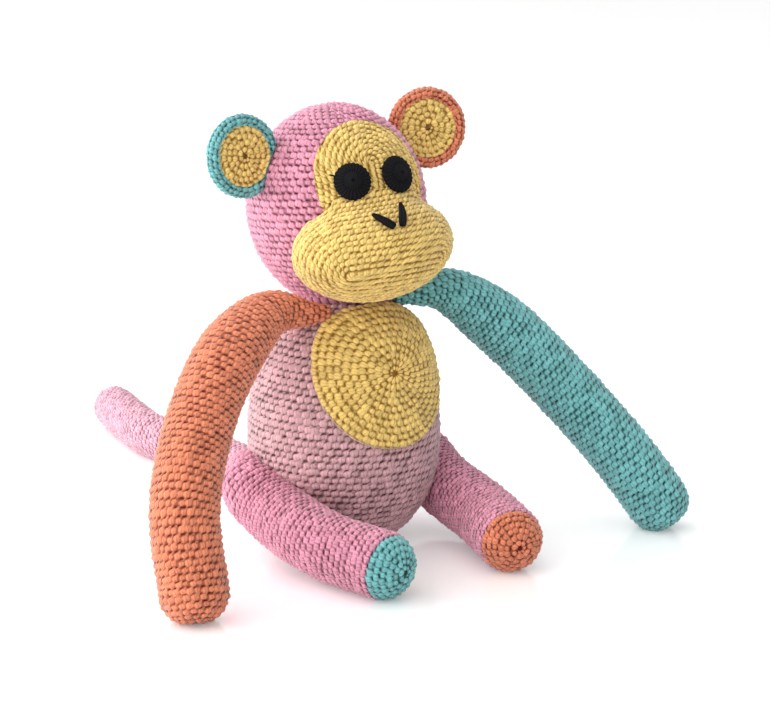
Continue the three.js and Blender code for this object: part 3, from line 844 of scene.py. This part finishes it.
def oval_rays(start, end, side_columns, end_columns):
    """Where rays leave a foundation chain and which way they run: along one side, round its end, and back."""
    start, end = np.asarray(start, float), np.asarray(end, float)
    chain = (end - start) / np.linalg.norm(end - start)
    across = np.array([-chain[1], chain[0]])
    share = np.arange(side_columns) / side_columns
    sweep = np.arange(end_columns) / end_columns * math.pi
    roots, ways = [], []
    for near, far, sign in ((start, end, 1), (end, start, -1)):
        roots.append(near + (far - near) * share[:, None])
        ways.append(np.broadcast_to(sign * across, (side_columns, 2)))
        roots.append(np.broadcast_to(far, (end_columns, 2)))
        ways.append(sign * (np.cos(sweep)[:, None] * across + np.sin(sweep)[:, None] * chain))
    return np.concatenate(roots), np.concatenate(ways)


def oval_form(chain, columns, surface, back, inside, rows, back_rows=6, far=2.2, samples=260, ovals=200):
    """A form worked in ovals from a foundation chain until inside() ends, closed by its back.

    Returns places, rounds, share of the way round, which points are in front, and the length of each oval.
    """
    pitch = yarn().round_height * yarn().face_gauge
    half = columns // 2
    side_columns = int(half * CHAIN_SHARE)
    roots, ways = oval_rays(*chain, side_columns, half - side_columns)
    travel = np.linspace(0, far, samples)
    angles = roots[:, None] + ways[:, None] * travel[None, :, None]
    points = surface(heading(angles[..., 0], angles[..., 1]))
    steps = np.linalg.norm(np.diff(points, axis=1), axis=2)
    gone = np.concatenate([np.zeros((len(roots), 1)), np.cumsum(steps, 1)], 1)
    within = inside(points)
    last = np.array([int(np.argmin(w)) if not w.all() else samples - 1 for w in within]) - 1
    reach = gone[np.arange(len(roots)), last]
    closed = np.concatenate([reach[-EDGE_NEIGHBOURS:], reach, reach[:EDGE_NEIGHBOURS]])
    width = 2 * EDGE_NEIGHBOURS + 1
    reach = np.convolve(closed, np.ones(width) / width, "valid")

    grid = np.linspace(0, reach.max() * PAST_EDGE, ovals)
    on_grid = np.stack([
        np.stack([np.interp(grid, gone[c], points[c, :, k]) for k in range(3)], 1) for c in range(len(roots))
    ])
    hops = np.linalg.norm(np.roll(on_grid, -1, 0) - on_grid, axis=2)
    girth = hops.sum(0)
    before = np.cumsum(hops, 0) - hops
    shares = before / np.maximum(girth, 1e-9)

    front_share = np.linspace(0, 1, rows + 1)
    back_share = np.linspace(1, 0, back_rows + 1)
    places = np.empty((rows + back_rows + 2, len(roots), 3))
    rounds = np.empty(places.shape[:2])
    around = np.empty(places.shape[:2])
    for c in range(len(roots)):
        run = np.concatenate([front_share, back_share]) * reach[c]
        travelled = np.interp(run, gone[c], travel)
        angle_here = roots[c] + ways[c] * travelled[:, None]
        way = heading(angle_here[:, 0], angle_here[:, 1])
        places[: rows + 1, c] = surface(way[: rows + 1])
        places[rows + 1:, c] = back(way[rows + 1:])
        rounds[:, c] = np.minimum(run, reach[c]) / pitch
        rounds[rows + 1:, c] = reach[c] / pitch
        around[:, c] = np.interp(run, grid, shares[c])
    front = np.broadcast_to((np.arange(len(places)) <= rows)[:, None], places.shape[:2])
    return places, rounds, around, front, lambda n: float(np.interp(n * pitch, grid, girth))


def skull(grow):
    """The surface of the head, grown a little, for directions in the face's frame."""
    s = sizes()
    radii = np.array([s.head_radius, s.head_radius, s.head_half_height]) + grow
    turn = Matrix.Rotation(s.face_turn, 3, "Z") @ Matrix.Rotation(s.face_roll, 3, "Y")
    return lambda start, way: start + way * ball_reach(start, way, (0, 0, 0), radii, turn)[..., None]


def in_head(points, grow):
    """Whether points in the face's frame lie inside the head, grown a little."""
    s = sizes()
    radii = np.array([s.head_radius, s.head_radius, s.head_half_height]) + grow
    turn = np.array(Matrix.Rotation(s.face_turn, 3, "Z") @ Matrix.Rotation(s.face_roll, 3, "Y"))
    return (((points @ turn.T) / radii) ** 2).sum(-1) < 1


def muzzle_share(points):
    """How far points lie from the muzzle's middle, in shares of its radii."""
    middle, radii = np.array(sizes().muzzle_middle), np.array(sizes().muzzle_radii)
    return np.linalg.norm((points - middle) / radii, axis=-1)


def muzzle_edge(points):
    """Where the muzzle's edge lies, in shares of its radii: further out on the brow than at its sides."""
    half = sizes().brow_half_width
    within = np.clip((half - np.abs(points[..., 0])) / (MUZZLE_CORNER * half), 0, 1)
    return MUZZLE_EDGE[0] + (MUZZLE_EDGE[1] - MUZZLE_EDGE[0]) * within


def muzzle_heart():
    """The point inside the muzzle that its surface is seen from."""
    return np.array(sizes().muzzle_middle) + np.array(sizes().muzzle_radii) * MUZZLE_HEART


def run_out(sight):
    """How far the muzzle runs out into the brow along a line of sight from its heart."""
    return np.clip((sight[..., 2] - NOSE_RISE[0]) / (NOSE_RISE[1] - NOSE_RISE[0]), 0, 1)


def smooth_most(first, second, reach):
    """The larger of two lengths, rounded where they come within reach of each other."""
    share = np.clip(1 - np.abs(first - second) / reach, 0, None)
    return np.maximum(first, second) + share * share * reach / 4


class MONKEY_OT_face(bpy.types.Operator):
    """Works the brow, the stuffed muzzle, the eyes and the nostrils"""

    bl_idname = "monkey.face"
    bl_label = "Face"

    def execute(self, context):
        self.work_brow()
        self.work_muzzle()
        for side, name in ((LEFT, "eye_left"), (RIGHT, "eye_right")):
            self.work_eye(side, name)
        for name, ends in NOSTRIL_ENDS.items():
            self.sew_nostril(name, ends)
        self.tie_knot()
        return {"FINISHED"}

    def work_brow(self):
        s = sizes()
        middle = np.zeros(3)
        chain = [(0, math.asin(end / s.head_half_height)) for end in (s.brow_chain_low, s.brow_chain_high)]

        def surface(way):
            flat = skull(s.brow_thickness)(middle, way)
            covered = np.clip((muzzle_edge(flat) - muzzle_share(flat)) / BROW_SLOPE, 0, 1)
            sight = flat - muzzle_heart()
            sight = sight / np.linalg.norm(sight, axis=-1, keepdims=True)
            return flat - way * (covered * run_out(sight) * BROW_SINK * s.brow_thickness)[..., None]

        def inside(points):
            return (points[..., 0] / s.brow_half_width) ** 2 + (
                (points[..., 2] - s.brow_height) / s.brow_half_height
            ) ** 2 < 1

        girth = math.pi * (s.brow_half_width + s.brow_half_height)
        columns, rows = mesh_counts(girth, s.brow_half_height, yarn().face_gauge)
        made = oval_form(chain, columns, surface, lambda way: skull(s.seat_gap)(middle, way), inside, rows)
        self.dress("brow", made, "yellow_yarn", ["face_cover"], 5.0)

    def work_muzzle(self):
        s = sizes()
        middle = np.array(s.muzzle_middle)
        radii = np.array(s.muzzle_radii)
        start = muzzle_heart()
        chain = []
        for side in (RIGHT, LEFT):
            across, up = side * s.mouth_half_width, s.mouth_height - middle[2]
            forward = radii[1] * math.sqrt(1 - (across / radii[0]) ** 2 - (up / radii[2]) ** 2)
            way = middle + (across, -forward, up) - start
            chain.append((math.atan2(way[0], -way[1]), math.atan2(way[2], math.hypot(way[0], way[1]))))

        def surface(way):
            bulge = ball_reach(start, way, middle, radii)
            brow = np.linalg.norm(skull(s.brow_thickness)(start, way) - start, axis=-1)
            rounded = smooth_most(bulge, brow, s.nose_blend)
            return start + way * (bulge + run_out(way) * (rounded - bulge))[..., None]

        def inside(points):
            return ~in_head(points, s.seat_gap) & (muzzle_share(points) < muzzle_edge(points))

        columns, rows = mesh_counts(math.pi * (radii[0] + radii[2]), 2 * radii[2], yarn().face_gauge)
        made = oval_form(chain, columns, surface, lambda way: skull(s.seat_gap)(start, way), inside, rows)
        muzzle = self.dress("muzzle", made, "yellow_yarn", ["face_cover", "muzzle_stuffing"], 6.0)

    def dress(self, name, made, slot, nodes, salt):
        places, rounds, around, front, girth = made
        places = placed(places, face_matrix())
        reach, proud = FACE_CHAIN
        least = proud * np.sqrt(np.clip(1 - rounds / reach, 0, 1))
        piece = work_skin(
            name, places, rounds, around, girth, finish_of(slot), fade=front * 1.0, least=least, salt=salt,
            gauge=yarn().face_gauge, hole=0,
        )
        hand_over(piece, slot, nodes, "head")
        return piece

    def work_eye(self, side, name):
        s = sizes()
        across, up = side * s.eye_spread, s.eye_height
        drop = math.hypot(across / s.head_radius, up / s.head_half_height)
        spot = Vector((across, -s.head_radius * math.sqrt(1 - drop * drop), up))
        wide, tall = s.head_radius**2, s.head_half_height**2
        facing = Vector((spot.x / wide, spot.y / wide, spot.z / tall))
        frame_here = Matrix.Translation(spot) @ facing.to_track_quat("Z", "Y").to_matrix().to_4x4()
        rim = s.eye_thickness / 2
        turn = np.linspace(math.pi / 2, -math.pi / 2, 12)
        edge = np.stack([s.eye_radius - rim + rim * np.cos(turn), rim + rim * np.sin(turn)], 1)
        dome = EYE_DOME * s.eye_thickness
        hole = [[0, EYE_HOLE[1] * dome], [EYE_HOLE[0] * s.eye_radius, dome]]
        profile = np.concatenate([hole, edge, [[0, 0]]])
        profile[:, 1] += s.brow_thickness + s.seat_gap
        columns, rows = EYE_FACES * EYE_RIDGES, EYE_ROWS
        places = turn_form(resample(profile, rows + 1), columns)
        out = np.hypot(places[..., 0], places[..., 1]) / s.eye_radius
        places[..., 2] -= (out * s.eye_radius) ** 2 / (2 * s.head_radius)
        turn = np.arange(columns) / columns * 2 * math.pi
        waver, often = EYE_WAVER
        ridge = np.abs(np.cos(0.5 * EYE_RIDGES * turn + waver * np.sin(often * turn)))
        ridge = np.broadcast_to(ridge, out.shape)
        begin, over = EYE_RIDGE_REACH
        groove = np.clip((out - begin) / over, 0, 1) * (1 - ridge)
        ring = np.exp(-(((out - EYE_RING[0]) / EYE_RING[1]) ** 2))
        lift = -(EYE_DEPTH[0] * groove + EYE_DEPTH[1] * ring)
        # Shade painted into the grooves and the ring, by lowering their relief
        relief = 1 - EYE_PAINTED_SHADE[0] * groove - EYE_PAINTED_SHADE[1] * ring
        skin = placed(places + outward(places) * lift[..., None], face_matrix() @ frame_here)
        eye = roll_grid(name, skin, {"relief": relief, "tone": ridge, "strand": np.zeros(skin.shape)})
        eye.data.materials.append(finish_of("black_yarn"))
        hand_over(eye, "black_yarn", [name], "head")
        rise = s.brow_thickness + s.seat_gap + rim
        ends = [Vector((x * s.eye_radius, y * s.eye_radius, rise)) for x, y in WISP_ENDS]
        line = [face_matrix() @ frame_here @ end for end in ends]
        self.lay_strand(f"{name}_wisp", np.array(line), WISP_RADIUS, "black_yarn", [name])

    def lay_strand(self, name, line, radius, slot, nodes, wedge=0.0, columns=60, rows=40):
        """A few strands of yarn laid together along a line, thicker towards its end by the wedge."""
        limb = Limb(line / MM, 0.1 * MM, 0.1 * MM, 1 * MM, (0, 1, 0))
        along = np.linspace(0, math.pi, rows + 1)
        thick = radius * (1 - wedge * np.cos(along)) * np.sin(along) ** BAR_FULLNESS
        profile = np.stack([thick, limb.length * (1 - np.cos(along)) / 2], 1)
        profile[[0, -1], 0] = 0
        places = limb.form(profile, columns)
        turn = np.arange(columns) / columns * 2 * math.pi
        groove = np.abs(np.cos(0.5 * BAR_STRANDS * turn)) ** STRAND_FULLNESS
        groove = np.broadcast_to(groove, places.shape[:2])
        skin = places + outward(places) * ((groove - 1) * BAR_GROOVE * radius)[..., None]
        # The relief paints shade into the grooves between the strands
        values = {"relief": groove, "tone": groove * 0 + 0.5, "strand": np.zeros(skin.shape)}
        bar = roll_grid(name, skin, values)
        bar.data.materials.append(finish_of(slot))
        hand_over(bar, slot, nodes, "head")

    def sew_nostril(self, name, ends):
        s = sizes()
        middle, radii = np.array(s.muzzle_middle), np.array(s.muzzle_radii)
        share = np.linspace(0, 1, 24)[:, None]
        flat = (np.array(ends[:1]) * (1 - share) + np.array(ends[1:]) * share) * MM
        out = 1 - ((flat[:, 0] - middle[0]) / radii[0]) ** 2 - ((flat[:, 1] - middle[2]) / radii[2]) ** 2
        line = np.stack([flat[:, 0], middle[1] - radii[1] * np.sqrt(out), flat[:, 1]], 1)
        away = (line - middle) / np.linalg.norm(line - middle, axis=1, keepdims=True)
        line = placed(line + away * NOSTRIL_PROUD * s.nostril_radius, face_matrix())
        self.lay_strand(name, line, s.nostril_radius, "black_yarn", [name], wedge=NOSTRIL_WEDGE)

    def tie_knot(self):
        """The knot where the muzzle's yarn ends, at its right side."""
        s = sizes()
        middle, radii = np.array(s.muzzle_middle), np.array(s.muzzle_radii)
        line = placed(middle + radii * KNOT_PLACE + np.array(KNOT_ENDS) * MM, face_matrix())
        self.lay_strand("muzzle_knot", line, KNOT_RADIUS, "yellow_yarn", ["face_cover"])


# Ears

# How far out the hole in an ear's disc reaches, in rounds
EAR_HOLE = 0.36
# The size of the rim's stitches against the disc's
EAR_RIM_GAUGE = 0.82
# How far the rim is rolled, in half turns past its back, and the gap between the rim and the disc's seat
EAR_ROLL = 0.93
EAR_SEAT_GAP = 0.5 * MM
# The disc in the ear: the radius of its hole, how much is left in it, and its height above the seat
EAR_DISC_HOLE = 1.2 * MM
EAR_DISC_LEFT = 0.35
EAR_DISC_LIFT = 0.4 * MM


def head_radii():
    """The head's radii over its stitches, where another piece can lie on them."""
    s = sizes()
    return np.array([s.head_radius, s.head_radius, s.head_half_height]) + s.seat_gap + yarn().proud


def onto_head(places):
    """Points moved along their line from the head's middle onto its surface."""
    own = placed(places, head_matrix().inverted()) / head_radii()
    size = np.linalg.norm(own, axis=-1, keepdims=True)
    return placed(own / np.maximum(size, 1e-9) * head_radii(), head_matrix())


def rest_on_head(places):
    """Points that would lie inside the head, moved out to its surface."""
    own = placed(places, head_matrix().inverted()) / head_radii()
    inside = np.linalg.norm(own, axis=-1, keepdims=True) < 1
    return np.where(inside, onto_head(places), places)


class MONKEY_OT_ears(bpy.types.Operator):
    """Works the ears: a cup with a rolled rim and a disc sewn into it"""

    bl_idname = "monkey.ears"
    bl_label = "Ears"

    def execute(self, context):
        for side, name, slot in ((LEFT, "ear_left", "orange_yarn"), (RIGHT, "ear_right", "teal_yarn")):
            self.work_ear(side, name, slot)
        return {"FINISHED"}

    def cup_side(self):
        """The cup's side from the middle of its back, round the rim, to the middle of its front."""
        s = sizes()
        turn = np.linspace(-math.pi / 2, EAR_ROLL * math.pi, 40)
        rim = np.stack([s.ear_radius - s.ear_rim + s.ear_rim * np.cos(turn), s.ear_rim * np.sin(turn)], 1)
        return np.concatenate([[[0, -s.ear_back]], rim, [[rim[-1, 0] - EAR_SEAT_GAP, 0], [0, 0]]])

    def disc_side(self):
        """The disc's side from the middle of its front to the middle of its back."""
        s = sizes()
        half = s.ear_disc_thickness / 2
        turn = np.linspace(math.pi / 2, -math.pi / 2, 10)
        edge = np.stack([s.ear_disc_radius - half + half * np.cos(turn), half + half * np.sin(turn)], 1)
        hole = [[0, EAR_DISC_LEFT * s.ear_disc_thickness], [EAR_DISC_HOLE, s.ear_disc_thickness]]
        return np.concatenate([hole, edge, [[0, 0]]]) + (0, EAR_DISC_LIFT)

    def work_ear(self, side, name, slot):
        s = sizes()
        where = (
            face_matrix()
            @ Matrix.Translation((side * s.ear_spread, -s.ear_forward, s.ear_height))
            @ Matrix.Rotation(-side * s.ear_toe_in, 4, "Z")
            @ Matrix.Rotation(math.pi / 2, 4, "X")
        )
        for label, profile, yarn_slot, salt, gauge in (
            ("back", self.cup_side(), slot, 9.0, EAR_RIM_GAUGE * yarn().ear_gauge),
            ("inner", self.disc_side(), "yellow_yarn", 10.0, yarn().ear_gauge),
        ):
            columns, rows = mesh_counts(2 * math.pi * s.ear_radius, line_length(profile), gauge)
            rounds = np.linspace(0, line_length(profile) / (yarn().round_height * gauge), rows + 1)
            places = placed(turn_form(resample(profile, rows + 1), columns, seam=0), where)
            piece = work_rings(
                f"{name}_{label}", rest_on_head(places), rounds, finish_of(yarn_slot),
                salt=salt + side, gauge=gauge, hole=EAR_HOLE,
            )
            hand_over(piece, yarn_slot, [f"{name}_{label}"])
            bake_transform(piece)


# Limbs

# The middle lines of the limbs as they lie, from root to tip, in millimetres; the legs are mirrored
ARM_POINTS = {
    RIGHT: (
        (-21.5, -21, 126), (-31, -17, 125.6), (-51, -14, 127.8), (-82, -25, 112.4),
        (-109, -41, 82), (-127, -59, 49), (-130, -71.5, 16.2),
    ),
    LEFT: (
        (20, -17, 128), (30, -18.5, 129.4), (49.2, -20, 129.2), (78, -28, 109.8),
        (110, -48, 72), (134, -69, 36), (145, -79, 16.2),
    ),
}
LEG_POINTS = ((45, 21.5, 45), (52, 8, 36), (51, -14, 26), (48, -57, 18.5), (38.5, -91.3, 16.3))
TAIL_POINTS = (
    (0, 43.6, 22), (0, 66.5, 15.3), (1, 92, 12.3), (0, 135, 12.3),
    (-8, 195, 12.3), (-1.4, 238, 12.3), (5, 268, 12.3),
)
# How round the toes are, where 1 is half a ball, and how many rounds a leg and its toe cap share
TOE_BLUNT = 0.92
TOE_LAP = 2
# How deep the covered one of the two lies
TOE_SINK = 2 * MM
# Where the ends under the lap close: the radius of the last ring before the middle, as a share
LAP_RING = 0.6


class Limb:
    """A stuffed tube with a pinched root and a round end, laid along a line."""

    def __init__(self, points, radius, root_radius, taper, across):
        points = [np.array(p) * MM for p in points]
        ahead = points[-1] - points[-2]
        points.append(points[-1] + ahead / np.linalg.norm(ahead) * radius)
        self.line = resample(smooth_line(points), 400)
        self.length = line_length(self.line)
        self.radius = radius
        self.root_radius = root_radius
        self.taper = taper
        self.across = np.array(across, float)

    def side(self, steps=40, blunt=0.8):
        """(radius, distance from the root) from the tip to the root."""
        turn = np.linspace(math.pi / 2, 0, steps)
        end = np.stack([
            self.radius * np.cos(turn) ** blunt,
            self.length - self.radius + self.radius * np.sin(turn) ** blunt,
        ], 1)
        end[0, 0] = 0
        share = np.linspace(1, 0, steps)
        root = np.stack([
            self.root_radius + (self.radius - self.root_radius) * np.sin(share * math.pi / 2),
            self.taper * share,
        ], 1)
        return np.concatenate([end, root, [[0, 0]]])

    def form(self, profile, columns):
        """The tube's surface for a profile of (radius, distance from the root)."""
        share = np.clip(profile[:, 1] / self.length, 0, 1) * (len(self.line) - 1)
        tangents = np.gradient(self.line, axis=0)
        steps = np.arange(len(self.line))
        middle = np.stack([np.interp(share, steps, self.line[:, k]) for k in range(3)], 1)
        along = np.stack([np.interp(share, steps, tangents[:, k]) for k in range(3)], 1)
        along /= np.linalg.norm(along, axis=1, keepdims=True)
        first = np.cross(self.across, along)
        first /= np.linalg.norm(first, axis=1, keepdims=True)
        second = np.cross(first, along)
        turn = np.arange(columns) / columns * 2 * math.pi
        ring = np.cos(turn)[None, :, None] * first[:, None] + np.sin(turn)[None, :, None] * second[:, None]
        return middle[:, None] + ring * profile[:, 0][:, None, None]

    def point(self, distance):
        """The point of the middle line at a distance from the root."""
        share = distance / self.length * (len(self.line) - 1)
        steps = np.arange(len(self.line))
        return Vector([np.interp(share, steps, self.line[:, k]) for k in range(3)])


def work_limb(name, limb, slot, nodes, body, salt, gauge):
    """Works a limb's cover from its tip to its root."""
    side = limb.side()
    long = line_length(side)
    columns, rows = mesh_counts(2 * math.pi * limb.radius, long, gauge)
    profile = resample(side, rows + 1)
    rounds = np.linspace(0, long / (yarn().round_height * gauge), rows + 1)
    cover = work_rings(name, limb.form(profile, columns), rounds, finish_of(slot), salt=salt, gauge=gauge)
    hand_over(cover, slot, nodes)
    limb.point(0)
    limb.point(sizes().root_bend)
    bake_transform(cover)
    return cover


class MONKEY_OT_arms(bpy.types.Operator):
    """Works the two arms"""

    bl_idname = "monkey.arms"
    bl_label = "Arms"

    def execute(self, context):
        s = sizes()
        for side, name, slot, salt in (
            (RIGHT, "arm_right", "orange_yarn", 2.0),
            (LEFT, "arm_left", "teal_yarn", 3.0),
        ):
            limb = Limb(ARM_POINTS[side], s.arm_radius, s.arm_root, s.arm_taper, (0, 1, 0))
            nodes = [f"{name}_cover", f"{name}_stuffing"]
            work_limb(name, limb, slot, nodes, name, salt, yarn().arm_gauge)
        return {"FINISHED"}


class MONKEY_OT_legs(bpy.types.Operator):
    """Works the two legs, each with a toe cap in another yarn"""

    bl_idname = "monkey.legs"
    bl_label = "Legs"

    def execute(self, context):
        s = sizes()
        for side, name, slot, salt in (
            (RIGHT, "leg_right", "teal_yarn", 11.0),
            (LEFT, "leg_left", "orange_yarn", 12.0),
        ):
            points = [(side * x, y, z) for x, y, z in LEG_POINTS]
            limb = Limb(points, s.leg_radius, s.leg_root, s.leg_taper, (0, 0, 1))
            self.work_leg(limb, name, slot, salt)
        return {"FINISHED"}

    def work_leg(self, limb, name, toe_slot, salt):
        gauge = yarn().leg_gauge
        pitch = yarn().round_height * gauge
        side = resample(limb.side(blunt=TOE_BLUNT), 2000)
        gone = np.linspace(0, line_length(side), 2000)
        toe_end = np.interp(sizes().toe_cap_length, limb.length - side[:, 1], gone)
        toe_turns = math.ceil(toe_end / pitch)
        lengths = ring_lengths(limb.form(side, 60), gone / pitch)

        first, last = (toe_turns - TOE_LAP) * pitch, (toe_turns + TOE_LAP) * pitch
        for piece, begin, stop, slot, kept in (
            (name, first, gone[-1], "pink_yarn", (toe_turns, math.inf)),
            (f"{name}_toe_cap", 0, last, toe_slot, (-math.inf, toe_turns - 1)),
        ):
            columns, rows = mesh_counts(2 * math.pi * limb.radius, stop - begin, gauge)
            reach = np.linspace(begin, stop, rows + 1)
            profile = np.stack([np.interp(reach, gone, side[:, k]) for k in range(2)], 1)
            lapped = toe_turns - 1 - reach / pitch if begin else reach / pitch - toe_turns
            profile[:, 0] -= TOE_SINK * np.clip(lapped, 0, 1)
            if begin:
                profile = np.concatenate([profile[:1] * (0, 1), profile[:1] * (LAP_RING, 1), profile])
                reach = np.concatenate([reach[:1], reach[:1], reach])
            elif stop < gone[-1]:
                profile = np.concatenate([profile, profile[-1:] * (LAP_RING, 1), profile[-1:] * (0, 1)])
                reach = np.concatenate([reach, reach[-1:], reach[-1:]])
            made = work_rings(
                piece, limb.form(profile, columns), reach / pitch, finish_of(slot),
                kept=kept, lengths=lengths, salt=salt, gauge=gauge,
            )
            if begin:
                hand_over(made, slot, [f"{name}_cover", f"{name}_stuffing"])
                limb.point(0)
                limb.point(limb.taper)
                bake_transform(made)
            else:
                hand_over(made, slot, [piece], name)


class MONKEY_OT_tail(bpy.types.Operator):
    """Works the tail"""

    bl_idname = "monkey.tail"
    bl_label = "Tail"

    def execute(self, context):
        s = sizes()
        limb = Limb(TAIL_POINTS, s.tail_radius, s.tail_root, s.tail_taper, (0, 0, 1))
        nodes = ["tail_cover", "tail_stuffing"]
        work_limb("tail", limb, "pale_pink_yarn", nodes, "tail", 13.0, yarn().tail_gauge)
        return {"FINISHED"}


# Stage

WHITE = (1, 1, 1, 1)
# The floor: half its side, how rough it is, and what it adds to its own white where the camera sees it
FLOOR_HALF = 6
FLOOR_ROUGHNESS = 0.12
FLOOR_GLOW = 0.24
# How much of the floor is a mirror, and how rough that is
FLOOR_SHINE = 0.14
MIRROR_ROUGHNESS = 0.1
# The sky: where it is brightest, from where it brightens, and its least and greatest strength
SKY_DIRECTION = Vector((-0.75, 0.35, 0.56)).normalized()
SKY_START = -0.2
SKY_STRENGTH = (0.5, 2.13)
# The window: where it is, what it faces, its side and its power in watts
WINDOW_PLACE = Vector((-1.5, 0.7, 0.3))
WINDOW_TARGET = Vector((0, 0, 0.1))
WINDOW_SIDE = 1.0
WINDOW_POWER = 13
# The camera: how far round from the front, how far up, how far away, and what it faces
CAMERA_AZIMUTH = math.radians(-34)
CAMERA_ELEVATION = math.radians(13)
CAMERA_DISTANCE = 1.18
CAMERA_TARGET = Vector((0.0294, 0.0053, 0.0903))
# Its lens and the width of its sensor, in millimetres
CAMERA_LENS = 105.2
CAMERA_SENSOR = 36


class MONKEY_OT_stage(bpy.types.Operator):
    """Sets the floor, the light and the camera"""

    bl_idname = "monkey.stage"
    bl_label = "Stage"

    def execute(self, context):
        set_floor()
        set_sky()
        set_window()
        set_camera()
        context.scene.view_settings.view_transform = "Standard"
        return {"FINISHED"}


def set_floor():
    """A white floor that keeps the toy's shadow and mirrors it faintly."""
    work = bmesh.new()
    bmesh.ops.create_grid(work, x_segments=1, y_segments=1, size=FLOOR_HALF)
    mesh = bpy.data.meshes.new("floor")
    work.to_mesh(mesh)
    work.free()
    floor = bpy.data.objects.new("floor", mesh)
    bpy.context.scene.collection.objects.link(floor)
    mesh.materials.append(floor_finish())
    floor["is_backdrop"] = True


def floor_finish():
    finish = bpy.data.materials.new("floor")
    finish.use_nodes = True
    tree = finish.node_tree
    surface = tree.nodes["Principled BSDF"]
    surface.inputs["Base Color"].default_value = WHITE
    surface.inputs["Roughness"].default_value = FLOOR_ROUGHNESS
    surface.inputs["Emission Color"].default_value = WHITE
    seen = add_node(tree, "LightPath").outputs["Is Camera Ray"]
    glow = add_node(tree, "Math", {0: seen}, {1: FLOOR_GLOW}, operation="MULTIPLY")
    tree.links.new(glow.outputs["Value"], surface.inputs["Emission Strength"])
    mirror = add_node(tree, "BsdfAnisotropic", values={"Color": WHITE, "Roughness": MIRROR_ROUGHNESS})
    both = {1: surface.outputs["BSDF"], 2: mirror.outputs["BSDF"]}
    blend = add_node(tree, "MixShader", both, {"Fac": FLOOR_SHINE})
    tree.links.new(blend.outputs["Shader"], tree.nodes["Material Output"].inputs["Surface"])
    return finish


def set_sky():
    """A sky that is brightest towards the window, and white where the camera sees it."""
    world = bpy.data.worlds.new("studio")
    world.use_nodes = True
    tree = world.node_tree
    back = tree.nodes["Background"]
    back.inputs["Color"].default_value = WHITE
    place = add_node(tree, "TexCoord")
    towards = add_node(
        tree, "VectorMath", {0: place.outputs["Generated"]}, {1: SKY_DIRECTION}, operation="DOT_PRODUCT"
    )
    glow = add_range(tree, towards.outputs["Value"], (SKY_START, 1), SKY_STRENGTH, smooth=True)
    seen = add_node(tree, "LightPath").outputs["Is Camera Ray"]
    strength = add_node(tree, "Mix", {"Factor": seen, "A": glow}, {"B": 1})
    tree.links.new(strength.outputs["Result"], back.inputs["Strength"])
    bpy.context.scene.world = world


def set_window():
    light = bpy.data.lights.new("window", "AREA")
    light.size = WINDOW_SIDE
    light.energy = WINDOW_POWER
    lamp = bpy.data.objects.new("window", light)
    lamp.location = WINDOW_PLACE
    lamp.rotation_euler = (WINDOW_TARGET - WINDOW_PLACE).to_track_quat("-Z", "Y").to_euler()
    bpy.context.scene.collection.objects.link(lamp)


def set_camera():
    level = math.cos(CAMERA_ELEVATION)
    back = Vector((
        math.sin(CAMERA_AZIMUTH) * level, -math.cos(CAMERA_AZIMUTH) * level, math.sin(CAMERA_ELEVATION)
    ))
    lens = bpy.data.cameras.new("camera")
    lens.lens = CAMERA_LENS
    lens.sensor_width = CAMERA_SENSOR
    camera = bpy.data.objects.new("camera", lens)
    camera.location = CAMERA_TARGET + back * CAMERA_DISTANCE
    camera.rotation_euler = (-back).to_track_quat("-Z", "Y").to_euler()
    bpy.context.scene.collection.objects.link(camera)
    bpy.context.scene.camera = camera


# Add-on


class MONKEY_PT_panel(bpy.types.Panel):
    """The steps of the work"""

    bl_label = "Crochet monkey"
    bl_idname = "MONKEY_PT_panel"
    bl_space_type = "VIEW_3D"
    bl_region_type = "UI"
    bl_category = "Monkey"

    def draw(self, context):
        for step in STEPS:
            self.layout.operator(step.bl_idname)


STEPS = (
    MONKEY_OT_body,
    MONKEY_OT_head,
    MONKEY_OT_face,
    MONKEY_OT_ears,
    MONKEY_OT_arms,
    MONKEY_OT_legs,
    MONKEY_OT_tail,
    MONKEY_OT_stage,
)
GROUPS = {"monkey_yarn": MonkeyYarn, "monkey_colours": MonkeyColours, "monkey_sizes": MonkeySizes}


def register():
    for kind in (*GROUPS.values(), *STEPS, MONKEY_PT_panel):
        bpy.utils.register_class(kind)
    for name, group in GROUPS.items():
        setattr(bpy.types.Scene, name, bpy.props.PointerProperty(type=group))


def unregister():
    for name in GROUPS:
        delattr(bpy.types.Scene, name)
    for kind in reversed((*GROUPS.values(), *STEPS, MONKEY_PT_panel)):
        bpy.utils.unregister_class(kind)


def main():
    register()
    for step in STEPS:
        group, name = step.bl_idname.split(".")
        getattr(getattr(bpy.ops, group), name)()
    boxes = {"cad": cad_box, "visual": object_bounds()}
    lists = {name: [list(corner) for corner in box] for name, box in boxes.items()}


if __name__ == "__main__":
    main()
